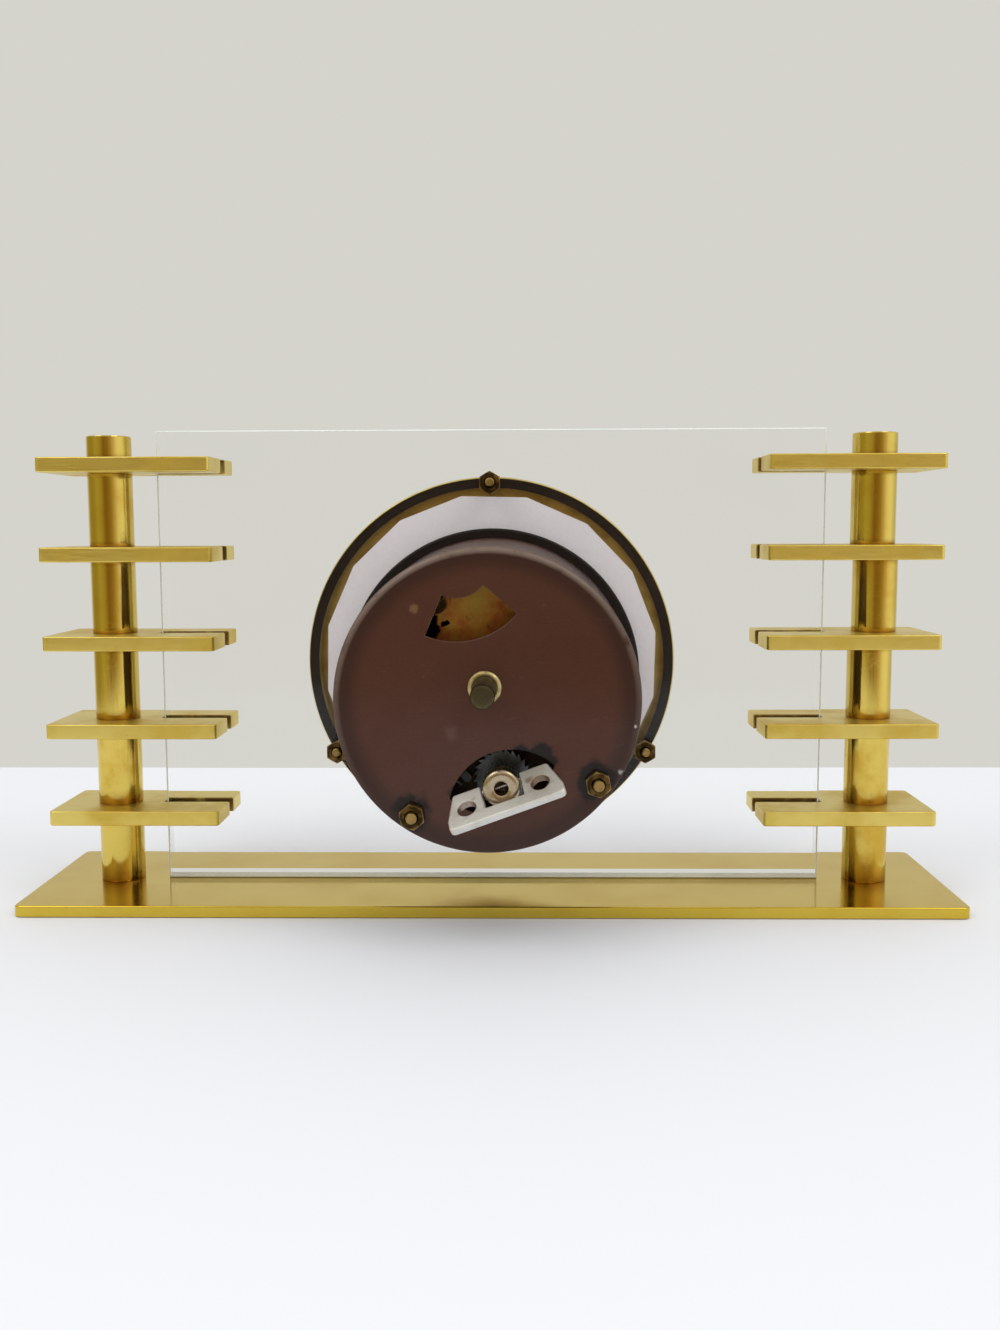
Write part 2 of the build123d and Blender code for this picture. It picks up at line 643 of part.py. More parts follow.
NODES["front_posts"] = group(
    [in_movement(rod(PILLAR_RADIUS, ring_rear, front_plate_front, place)) for place in pillar_places]
)

# Barrel with its great wheel, cover, mainspring and arbor
great_wheel_front = front_plate_rear + GREAT_WHEEL_LEVEL
great_wheel_rear = great_wheel_front + GREAT_WHEEL_THICKNESS
barrel_rear = great_wheel_rear + BARREL_HEIGHT
arbor_bore = WINDING_ARBOR_RADIUS + RUNNING_CLEARANCE
great_wheel = toothed(BARREL_TEETH, BARREL_MODULE, WHEEL_ROOT_SHARE, WHEEL_TIP_SHARE, 0) - Circle(arbor_bore)
barrel = slab(great_wheel, great_wheel_front, great_wheel_rear, barrel_at)
barrel += tube(BARREL_RADIUS, BARREL_RADIUS - BARREL_WALL, great_wheel_rear, barrel_rear, barrel_at)
NODES["barrel"] = in_movement(barrel)
cover_rear = barrel_rear + BARREL_COVER_THICKNESS
NODES["barrel_cover"] = in_movement(tube(BARREL_RADIUS, arbor_bore, barrel_rear, cover_rear, barrel_at))
spring_inner = WINDING_ARBOR_RADIUS + FACE_CLEARANCE + SPRING_STRIP / 2
spring_outer = BARREL_RADIUS - BARREL_WALL - FACE_CLEARANCE - SPRING_STRIP / 2
spring_pitch = (spring_outer - spring_inner) / (SPRING_TURNS + 0.5)
mainspring = spiral_strip(spring_inner, spring_pitch, SPRING_TURNS, SPRING_STRIP)
NODES["mainspring"] = in_movement(
    slab(mainspring, great_wheel_rear, barrel_rear - FACE_CLEARANCE, barrel_at)
)
ratchet_front = back_plate_rear + FACE_CLEARANCE
ratchet_rear = ratchet_front + RATCHET_THICKNESS
hub_front = can_rear + KEY_HUB_GAP
hub_rear = hub_front + KEY_HUB_LENGTH
arbor_end = hub_rear - KEY_HUB_BORE_DEPTH
NODES["winding_arbor"] = in_movement(rod(WINDING_ARBOR_RADIUS, pivot_front, arbor_end, barrel_at))


def saw_outline(teeth, flank):
    """Saw-toothed wheel outline, each steep flank running through the two given radii in turn."""
    points = []
    for tooth in range(teeth):
        for radius in flank:
            points.append(polar(radius, 360 * tooth / teeth))
    return Polygon(*points, align=None)


ratchet = saw_outline(RATCHET_TEETH, (RATCHET_RADIUS, RATCHET_RADIUS - RATCHET_TOOTH_DEPTH))
NODES["ratchet_wheel"] = in_movement(
    slab(ratchet - Circle(WINDING_ARBOR_RADIUS), ratchet_front, ratchet_rear, barrel_at)
)

# Click and its spring, the nose held just clear of the ratchet's teeth
nose_angle = direction(barrel_at, click_at) + CLICK_REACH_TURN
nose_at = polar(RATCHET_RADIUS + CLICK_CLEARANCE + CLICK_WIDTH / 2, nose_angle, barrel_at)
click = bar(click_at, nose_at, CLICK_WIDTH) + Pos(*click_at) * Circle(CLICK_EYE_RADIUS)
click -= Pos(*click_at) * Circle(CLICK_PIVOT_RADIUS + RUNNING_CLEARANCE)
NODES["click"] = in_movement(slab(click, click_front, click_front + CLICK_THICKNESS))
spring_side = direction(click_at, nose_at) - 90
foot_offset = CLICK_EYE_RADIUS + FACE_CLEARANCE + CLICK_SPRING_WIDTH
spring_start = polar(foot_offset, spring_side, click_at)
tip_offset = CLICK_WIDTH / 2 + CLICK_LIFT_SPACE + CLICK_SPRING_WIDTH / 2
spring_end = polar(tip_offset, spring_side, nose_at)
spring_leaf = bar(spring_start, spring_end, CLICK_SPRING_WIDTH)
spring_foot = Pos(*spring_start) * Circle(CLICK_SPRING_WIDTH)
NODES["click_spring"] = in_movement(
    slab(spring_leaf + spring_foot, back_plate_rear, click_front + CLICK_THICKNESS)
)


def mobile(at, wheel, wheel_level, pinion, pinion_level, bore=None):
    """Wheel and pinion on one arbor, or on a bored pipe where a bore is given."""
    wheel_front = front_plate_rear + wheel_level
    pinion_front = front_plate_rear + pinion_level - PINION_OVERLAP
    pinion_rear = front_plate_rear + pinion_level + TRAIN_WHEEL_THICKNESS + PINION_OVERLAP
    body = slab(wheel, wheel_front, wheel_front + TRAIN_WHEEL_THICKNESS, at)
    body += slab(pinion, pinion_front, pinion_rear, at)
    if bore is None:
        return in_movement(body + rod(TRAIN_ARBOR_RADIUS, pivot_front, pivot_rear, at))
    body += rod(WHEEL_HUB_RADIUS - PINION_OVERLAP, pinion_rear, wheel_front, at)
    return in_movement(body - rod(bore, pinion_front, wheel_front + TRAIN_WHEEL_THICKNESS, at))


# Going train
second_pinion = pinion_outline(
    SECOND_PINION_TEETH,
    BARREL_MODULE,
    meshed_phase(barrel_at, BARREL_TEETH, 0, second_at, SECOND_PINION_TEETH),
)
great_wheel_middle = GREAT_WHEEL_LEVEL + (GREAT_WHEEL_THICKNESS - TRAIN_WHEEL_THICKNESS) / 2
NODES["second_wheel"] = mobile(
    second_at,
    wheel_outline(SECOND_WHEEL_TEETH, second_module),
    SECOND_WHEEL_LEVEL,
    second_pinion,
    great_wheel_middle,
)
centre_pinion = pinion_outline(
    CENTRE_PINION_TEETH,
    second_module,
    meshed_phase(second_at, SECOND_WHEEL_TEETH, 0, centre_at, CENTRE_PINION_TEETH),
)
NODES["centre_wheel"] = mobile(
    centre_at,
    wheel_outline(CENTRE_WHEEL_TEETH, CENTRE_MODULE),
    CENTRE_WHEEL_LEVEL,
    centre_pinion,
    SECOND_WHEEL_LEVEL,
    CENTRE_ARBOR_RADIUS + RUNNING_CLEARANCE,
)
third_pinion = pinion_outline(
    THIRD_PINION_TEETH,
    CENTRE_MODULE,
    meshed_phase(centre_at, CENTRE_WHEEL_TEETH, 0, third_at, THIRD_PINION_TEETH),
)
NODES["third_wheel"] = mobile(
    third_at,
    wheel_outline(THIRD_WHEEL_TEETH, THIRD_MODULE),
    THIRD_WHEEL_LEVEL,
    third_pinion,
    CENTRE_WHEEL_LEVEL,
)
fourth_pinion = pinion_outline(
    FOURTH_PINION_TEETH,
    THIRD_MODULE,
    meshed_phase(third_at, THIRD_WHEEL_TEETH, 0, fourth_at, FOURTH_PINION_TEETH),
)
NODES["fourth_wheel"] = mobile(
    fourth_at,
    wheel_outline(FOURTH_WHEEL_TEETH, FOURTH_MODULE),
    FOURTH_WHEEL_LEVEL,
    fourth_pinion,
    THIRD_WHEEL_LEVEL,
)
escape_pinion = pinion_outline(
    ESCAPE_PINION_TEETH,
    FOURTH_MODULE,
    meshed_phase(fourth_at, FOURTH_WHEEL_TEETH, 0, escape_at, ESCAPE_PINION_TEETH),
)
NODES["escape_wheel"] = mobile(
    escape_at,
    saw_outline(ESCAPE_TEETH, (ESCAPE_RADIUS - ESCAPE_TOOTH_DEPTH, ESCAPE_RADIUS)),
    ESCAPE_WHEEL_LEVEL,
    escape_pinion,
    FOURTH_WHEEL_LEVEL,
)

# Pin-pallet lever with its fork
lever_front = front_plate_rear + LEVER_LEVEL
lever_rear = lever_front + LEVER_THICKNESS
escape_front = front_plate_rear + ESCAPE_WHEEL_LEVEL
fork_at = polar(LEVER_TO_BALANCE - IMPULSE_PIN_CIRCLE, lever_line, lever_at)
pallet_circle = ESCAPE_RADIUS + PALLET_CLEARANCE + PALLET_PIN_RADIUS
pallet_places = [
    polar(pallet_circle, lever_line + side * PALLET_HALF_ANGLE, escape_at) for side in (-1, 1)
]
lever = bar(lever_at, fork_at, LEVER_WIDTH)
for place in pallet_places:
    lever += bar(lever_at, place, LEVER_WIDTH)
fork_turn = Pos(*fork_at) * Rot(Z=lever_line)
lever += fork_turn * Rectangle(FORK_SLOT_DEPTH, FORK_WIDTH)
lever -= fork_turn * Rectangle(2 * FORK_SLOT_DEPTH, FORK_SLOT, align=(Align.MIN, Align.CENTER))
lever_body = slab(lever, lever_front, lever_rear)
for place in pallet_places:
    lever_body += rod(PALLET_PIN_RADIUS, escape_front, lever_front, place)
lever_body += rod(TRAIN_ARBOR_RADIUS, pivot_front, pivot_rear, lever_at)
NODES["pallet_lever"] = in_movement(lever_body)

# Balance wheel with its staff, roller and impulse pin
balance_front = front_plate_rear + BALANCE_LEVEL
balance_rear = balance_front + BALANCE_THICKNESS
balance_inside = BALANCE_RADIUS - BALANCE_RIM
spoke = Rectangle(2 * balance_inside, SPOKE_WIDTH)
balance_outline = Circle(BALANCE_RADIUS) - Circle(balance_inside) + spoke + Circle(WHEEL_HUB_RADIUS)
NODES["balance_wheel"] = in_movement(
    slab(balance_outline - Circle(BALANCE_STAFF_RADIUS), balance_front, balance_rear, BALANCE_CENTRE)
)
roller_rear = balance_rear + FACE_CLEARANCE + ROLLER_THICKNESS
impulse_at = polar(-IMPULSE_PIN_CIRCLE, lever_line, BALANCE_CENTRE)
staff = rod(BALANCE_STAFF_RADIUS, pivot_front, back_plate_front + FACE_CLEARANCE, BALANCE_CENTRE)
staff += rod(ROLLER_RADIUS, roller_rear - ROLLER_THICKNESS, roller_rear, BALANCE_CENTRE)
staff += rod(IMPULSE_PIN_RADIUS, roller_rear, lever_front - FACE_CLEARANCE, impulse_at)
hairspring_front = front_plate_rear + HAIRSPRING_LEVEL
hairspring_rear = hairspring_front + HAIRSPRING_HEIGHT
staff += rod(COLLET_RADIUS, hairspring_front, hairspring_rear, BALANCE_CENTRE)
NODES["balance_staff"] = in_movement(staff)

# Hairspring, its outer end pinned to a stud under the back plate
hairspring_inner = COLLET_RADIUS + FACE_CLEARANCE + HAIRSPRING_STRIP / 2
hairspring = spiral_strip(hairspring_inner, HAIRSPRING_PITCH, HAIRSPRING_TURNS, HAIRSPRING_STRIP)
outer_end = (hairspring_inner + HAIRSPRING_TURNS * HAIRSPRING_PITCH, 0.0)
spring_body = slab(hairspring, hairspring_front, hairspring_rear, BALANCE_CENTRE)
stud_at = (BALANCE_CENTRE[0] + outer_end[0], BALANCE_CENTRE[1])
spring_body += rod(COLLET_RADIUS / 2, hairspring_front, back_plate_front, stud_at)
NODES["hairspring"] = in_movement(spring_body)

# Pivot screw of the balance, and the regulator that turns on it
regulator_front = back_plate_rear + RUNNING_CLEARANCE
regulator_rear = regulator_front + REGULATOR_THICKNESS
screw_head_front = regulator_rear + RUNNING_CLEARANCE
screw = rod(PIVOT_SCREW_RADIUS, back_plate_front, screw_head_front, BALANCE_CENTRE)
screw += rod(
    PIVOT_SCREW_HEAD_RADIUS, screw_head_front, screw_head_front + PIVOT_SCREW_HEAD_HEIGHT, BALANCE_CENTRE
)
screw -= rod(
    BALANCE_STAFF_RADIUS + RUNNING_CLEARANCE, back_plate_front, back_plate_rear, BALANCE_CENTRE
)
NODES["pivot_screw"] = in_movement(screw)
tail = Polygon(
    (0, -REGULATOR_WIDTH / 2),
    (REGULATOR_TAIL, -REGULATOR_TIP_WIDTH / 2),
    (REGULATOR_TAIL, REGULATOR_TIP_WIDTH / 2),
    (0, REGULATOR_WIDTH / 2),
    align=None,
)
regulator = Circle(REGULATOR_EYE_RADIUS) + tail
regulator -= Circle(PIVOT_SCREW_RADIUS + RUNNING_CLEARANCE)
regulator_body = slab(Rot(Z=REGULATOR_DIRECTION) * regulator, regulator_front, regulator_rear, BALANCE_CENTRE)
curb_at = polar(CURB_PIN_CIRCLE, REGULATOR_DIRECTION, BALANCE_CENTRE)
regulator_body += rod(CURB_PIN_RADIUS, hairspring_front, regulator_front, curb_at)
NODES["regulator"] = in_movement(regulator_body)

# Motion work: cannon pinion, minute wheel and hour wheel
minute_module = 2 * MOTION_DISTANCE / (CANNON_TEETH + MINUTE_WHEEL_TEETH)
hour_module = 2 * MOTION_DISTANCE / (MINUTE_PINION_TEETH + HOUR_WHEEL_TEETH)
minute_front = front_plate_front - MOTION_WHEEL_THICKNESS - FACE_CLEARANCE
minute_rear = minute_front + MOTION_WHEEL_THICKNESS
hour_front = minute_front - MOTION_LEVEL_STEP
hour_rear = hour_front + MOTION_WHEEL_THICKNESS
minute_phase = meshed_phase(centre_at, CANNON_TEETH, 0, motion_at, MINUTE_WHEEL_TEETH)
hour_phase = meshed_phase(motion_at, MINUTE_PINION_TEETH, 0, centre_at, HOUR_WHEEL_TEETH)
cannon_leaves = pinion_outline(CANNON_TEETH, minute_module, 0) - Circle(HAND_ARBOR_RADIUS)
cannon = slab(cannon_leaves, minute_front, minute_rear)
cannon += tube(CANNON_PIPE_RADIUS, HAND_ARBOR_RADIUS, minute_hand_front, minute_front)
NODES["cannon_pinion"] = in_movement(cannon)
minute_wheel = slab(
    toothed(MINUTE_WHEEL_TEETH, minute_module, WHEEL_ROOT_SHARE, WHEEL_TIP_SHARE, minute_phase),
    minute_front,
    minute_rear,
    motion_at,
)
minute_wheel += slab(pinion_outline(MINUTE_PINION_TEETH, hour_module, 0), hour_front, minute_front, motion_at)
minute_wheel += rod(TRAIN_ARBOR_RADIUS, minute_rear, front_plate_rear - FACE_CLEARANCE, motion_at)
NODES["minute_wheel"] = in_movement(minute_wheel)
hour_bore = CANNON_PIPE_RADIUS + RUNNING_CLEARANCE
hour_gear = toothed(HOUR_WHEEL_TEETH, hour_module, WHEEL_ROOT_SHARE, WHEEL_TIP_SHARE, hour_phase)
hour_wheel = slab(hour_gear - Circle(hour_bore), hour_front, hour_rear)
hour_wheel += tube(HOUR_PIPE_RADIUS, hour_bore, hour_hand_front, hour_front)
NODES["hour_wheel"] = in_movement(hour_wheel)

# Centre arbor, and the knob on its rear end that sets the hands
knob_front = can_rear + CAN_WALL + FACE_CLEARANCE
knob_rear = knob_front + KNOB_LENGTH
centre_arbor = rod(HAND_ARBOR_RADIUS, minute_hand_front, minute_rear)
centre_arbor += rod(CENTRE_ARBOR_RADIUS, minute_rear, knob_rear - KNOB_RADIUS)
NODES["centre_arbor"] = in_movement(centre_arbor)
knob = rod(KNOB_RADIUS, knob_front, knob_rear)
knob = chamfer(knob.faces().sort_by(Axis.Z)[-1].edges(), KNOB_EDGE)
NODES["setting_knob"] = in_movement(knob - rod(CENTRE_ARBOR_RADIUS, knob_front, knob_rear - KNOB_RADIUS))

# Winding key: a hub on the arbor, a cross pin and a wing that folds about the pin
KEY = HEAD * Pos(*polar(BARREL_DROP, 270 + MOVEMENT_TURN), hub_front) * Rot(Z=KEY_TURN)
hub = rod(KEY_HUB_RADIUS, 0, KEY_HUB_LENGTH)
hub = chamfer(hub.faces().sort_by(Axis.Z)[-1].edges(), KEY_HUB_CHAMFER)
hub -= rod(WINDING_ARBOR_RADIUS, 0, arbor_end - hub_front)
hub -= rod(KEY_HUB_BORE_RADIUS, arbor_end - hub_front, KEY_HUB_LENGTH)
HINGE = KEY * Pos(0, 0, KEY_HINGE_HEIGHT)
pin = HINGE * Rot(Y=90) * Cylinder(KEY_PIN_RADIUS, KEY_PIN_LENGTH)
NODES["key_pin"] = pin
NODES["key_hub"] = KEY * hub - pin
NODES["winding_arbor"] -= pin
half_notch = WING_NOTCH_HALF_WIDTH
wing_half = WING_WIDTH / 2
top_half = WING_TOP_WIDTH / 2
wing_sketch = Polygon(
    (-top_half, WING_TOP_MARGIN),
    (-wing_half, -WING_FLARE_END),
    (-wing_half, -WING_LENGTH),
    (wing_half, -WING_LENGTH),
    (wing_half, -WING_FLARE_END),
    (top_half, WING_TOP_MARGIN),
    align=None,
)
wing_sketch = fillet(wing_sketch.vertices().group_by(Axis.Y)[0], WING_CORNER_RADIUS)
notch_height = WING_TOP_MARGIN + WING_NOTCH_DEPTH
wing_sketch -= Pos(0, WING_TOP_MARGIN - notch_height / 2) * Rectangle(2 * half_notch, notch_height)
for side in (-1, 1):
    wing_sketch -= Pos(side * WING_HOLE_SPREAD, -WING_HOLE_REACH) * Circle(WING_HOLE_RADIUS)
wing = extrude(wing_sketch, amount=WING_THICKNESS / 2, both=True)
wing -= Rot(Y=90) * Cylinder(KEY_PIN_RADIUS + RUNNING_CLEARANCE, KEY_PIN_LENGTH + 2 * FACE_CLEARANCE)
NODES["key_wing"] = HINGE * Rot(X=KEY_DROOP - 90) * wing

for node, shape in NODES.items():
    export_step(shape, f"parts/{node}.step")
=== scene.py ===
"""Looks of a mantel clock: a round head on a glass pane between two finned brass columns."""

import logging
import math
from dataclasses import dataclass, replace
from enum import Enum, IntEnum
from typing import Callable, Iterable, Optional, Sequence, Union

import bmesh
import bpy
from mathutils import Matrix, Vector


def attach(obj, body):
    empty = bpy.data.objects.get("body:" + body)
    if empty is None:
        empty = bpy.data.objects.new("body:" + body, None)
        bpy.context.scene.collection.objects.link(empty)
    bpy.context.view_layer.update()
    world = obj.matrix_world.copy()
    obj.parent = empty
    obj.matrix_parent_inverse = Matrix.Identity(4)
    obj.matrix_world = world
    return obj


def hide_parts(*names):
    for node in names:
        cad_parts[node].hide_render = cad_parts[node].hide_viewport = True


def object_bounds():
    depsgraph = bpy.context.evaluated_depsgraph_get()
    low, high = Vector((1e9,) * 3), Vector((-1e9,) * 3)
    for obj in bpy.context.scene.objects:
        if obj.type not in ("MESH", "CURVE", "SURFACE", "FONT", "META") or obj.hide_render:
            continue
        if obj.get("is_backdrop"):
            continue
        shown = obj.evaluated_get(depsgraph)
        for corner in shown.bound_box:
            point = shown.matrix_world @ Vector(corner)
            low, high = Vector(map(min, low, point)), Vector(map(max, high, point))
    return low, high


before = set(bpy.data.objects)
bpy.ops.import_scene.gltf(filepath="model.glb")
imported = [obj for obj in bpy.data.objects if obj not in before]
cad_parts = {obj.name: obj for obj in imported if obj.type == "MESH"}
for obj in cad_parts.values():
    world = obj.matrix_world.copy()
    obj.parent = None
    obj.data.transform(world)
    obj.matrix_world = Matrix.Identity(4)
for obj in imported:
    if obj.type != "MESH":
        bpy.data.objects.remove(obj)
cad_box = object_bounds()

log = logging.getLogger("mantel_clock")

Point = tuple[float, float]
Triple = tuple[float, float, float]
Socket = bpy.types.NodeSocket
Feed = Union[Socket, float, Sequence[float]]
Ring = list[bmesh.types.BMVert]
Marking = Union[float, Sequence[float]]

MM = 0.001
MIDDLE = (0.0, 0.0)
AXIS_HEIGHT = 64.0
MOVEMENT_TURN = 10.0
DIAL_FEET = (30.0, 150.0, 270.0)
FOOT_CIRCLE = 30.0
NUT_FLATS = 5.5
CAN_CENTRE = (0.0, -3.4)
CAN_REAR = 56.0
SHARP_ANGLE = 38.0
PLAIN = Matrix.Identity(4)
HEAD = Matrix(((-1, 0, 0, 0), (0, 0, 1, 0), (0, 1, 0, AXIS_HEIGHT * MM), (0, 0, 0, 1)))
FRONTWARD = Matrix(((1, 0, 0, 0), (0, 0, -1, 0), (0, 1, 0, AXIS_HEIGHT * MM), (0, 0, 0, 1)))


class Body(Enum):
    """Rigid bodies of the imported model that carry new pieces."""

    FRAME = "frame"
    WINDING = "winding"
    WING = "wing"
    SETTING = "setting"
    HOUR_WORK = "hour_work"


class Slot(Enum):
    """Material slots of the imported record."""

    POLISHED_BRASS = "polished_brass"
    CLEAR_GLASS = "clear_glass"
    BEZEL_BRASS = "bezel_brass"
    HAND_BLACK = "hand_black"
    RIM_BLACK = "rim_black"
    CAN_BROWN = "can_brown"
    BRIGHT_STEEL = "bright_steel"
    KNOB_STEEL = "knob_steel"
    HUB_NICKEL = "hub_nickel"
    WING_ALUMINIUM = "wing_aluminium"


class Round(IntEnum):
    """Points round a circle, named by what it belongs to."""

    FOOT = 20
    BOLT = 32
    PIPE = 40
    HOLE = 48
    KNOB = 64
    HUB = 72
    COLUMN = 96
    RING = 160
    CASE = 192


def shifted(x: float, y: float, z: float) -> Matrix:
    """Translation by millimetres."""
    return Matrix.Translation(Vector((x, y, z)) * MM)


def turned_by(angle: float, axis: str) -> Matrix:
    """Rotation by degrees about a local axis."""
    return Matrix.Rotation(math.radians(angle), 4, axis)


MOVEMENT = HEAD @ turned_by(MOVEMENT_TURN, "Z")


def polar(radius: float, angle: float, start: Point = MIDDLE) -> Point:
    """Point at a distance and direction, in degrees, from a start point."""
    turn = math.radians(angle)
    return (start[0] + radius * math.cos(turn), start[1] + radius * math.sin(turn))


def arc(radius: float, first: float, last: float, steps: int, centre: Point = MIDDLE) -> list[Point]:
    """Points along a circular arc, both ends included."""
    return [polar(radius, first + (last - first) * step / steps, centre) for step in range(steps + 1)]


def circle(radius: float, steps: int, centre: Point = MIDDLE) -> list[Point]:
    """Points round a full circle, anticlockwise."""
    return arc(radius, 0, 360, steps, centre)[:-1]


def bored(radius: float, steps: int, centre: Point = MIDDLE) -> list[Point]:
    """Points round a hole, clockwise."""
    return circle(radius, steps, centre)[::-1]


def block(across: Point, upward: Point) -> list[Point]:
    """Corners of a rectangle, anticlockwise from the lower left."""
    (left, right), (low, high) = across, upward
    return [(left, low), (right, low), (right, high), (left, high)]


def spun(points: Iterable[Point], angle: float, centre: Point = MIDDLE) -> list[Point]:
    """Points turned about the origin by degrees and then moved."""
    turn = Matrix.Rotation(math.radians(angle), 2)
    return [tuple(turn @ Vector(point) + Vector(centre)) for point in points]


def beside(corner: Point, offsets: Sequence[Point]) -> list[Point]:
    """Points at offsets from a corner."""
    return [(corner[0] + out, corner[1] + up) for out, up in offsets]


def softened(back: Point, corner: Point, ahead: Point, radius: float, steps: int) -> list[Point]:
    """Rounds one corner of an outline.

    Args:
        back: The corner before it.
        corner: The corner.
        ahead: The corner after it.
        radius: Rounding radius, shortened where a side is too short for it.
        steps: Straight pieces in the rounding.

    Returns:
        The points that take the corner's place.
    """
    longest, flattest, smallest = 0.45, 1.5, 1e-6
    here = Vector(corner)
    before, after = Vector(back) - here, Vector(ahead) - here
    half = before.angle(after) / 2
    if half >= flattest:
        return [corner]
    reach = min(radius / math.tan(half), longest * before.length, longest * after.length)
    if reach < smallest:
        return [corner]
    start, end = here + before.normalized() * reach, here + after.normalized() * reach
    made = []
    for step in range(steps + 1):
        share = step / steps
        spot = start * (1 - share) ** 2 + here * (2 * share * (1 - share)) + end * share ** 2
        made.append((spot.x, spot.y))
    return made


def rounded(points: Sequence[Point], radius: Union[float, Sequence[float]], steps: int) -> list[Point]:
    """Rounds the corners of a closed outline.

    Args:
        points: Corners in order.
        radius: Rounding radius, one for all or one for each corner.
        steps: Straight pieces in each rounded corner.

    Returns:
        The outline's points in the same order.
    """
    radii = [radius] * len(points) if isinstance(radius, float) else radius
    corners = zip([points[-1], *points], points, [*points[1:], points[0]], radii)
    return [spot for back, corner, ahead, own in corners for spot in softened(back, corner, ahead, own, steps)]


def inset(points: Sequence[Point], distance: float) -> list[Point]:
    """Moves an outline to the left of its direction, which is into the material.

    Args:
        points: The outline's points in order.
        distance: How far each side moves.

    Returns:
        The moved points.
    """
    narrowest = 0.5
    made = []
    for index, corner in enumerate(points):
        here = Vector(corner)
        back = (here - Vector(points[index - 1])).normalized()
        ahead = (Vector(points[(index + 1) % len(points)]) - here).normalized()
        normals = [Vector((-way.y, way.x)) for way in (back, ahead)]
        middle = normals[0] + normals[1]
        scale = 2 / max(middle.length_squared, narrowest)
        made.append((here.x + middle.x * scale * distance, here.y + middle.y * scale * distance))
    return made


def soft_levels(low: float, high: float, edge: float, steps: int = 3) -> list[Point]:
    """Levels of a plate whose two edges are rounded.

    Args:
        low: Depth of its lower face.
        high: Depth of its upper face.
        edge: Radius of the edges.
        steps: Straight pieces in each edge.

    Returns:
        Depth and inset of each level.
    """
    quarter = [math.pi / 2 * step / steps for step in range(steps + 1)]
    first = [(low + edge * (1 - math.sin(a)), edge * (1 - math.cos(a))) for a in reversed(quarter)]
    last = [(high - edge * (1 - math.sin(a)), edge * (1 - math.cos(a))) for a in quarter]
    return first + last


def straight(levels: Sequence[Point]) -> list[Point]:
    """The same depths without insets."""
    return [(depth, 0.0) for depth, _ in levels]


@dataclass
class Loop:
    """Outline of a plate or of a hole in it, with its depths and insets.

    The plate's outer loop runs anticlockwise and the loops of its holes run clockwise. The edge value, one for all
    or one for each point, marks the walls and leaves the flat faces clean.
    """

    points: Sequence[Point]
    levels: Sequence[Point]
    edge: Marking = 0.0


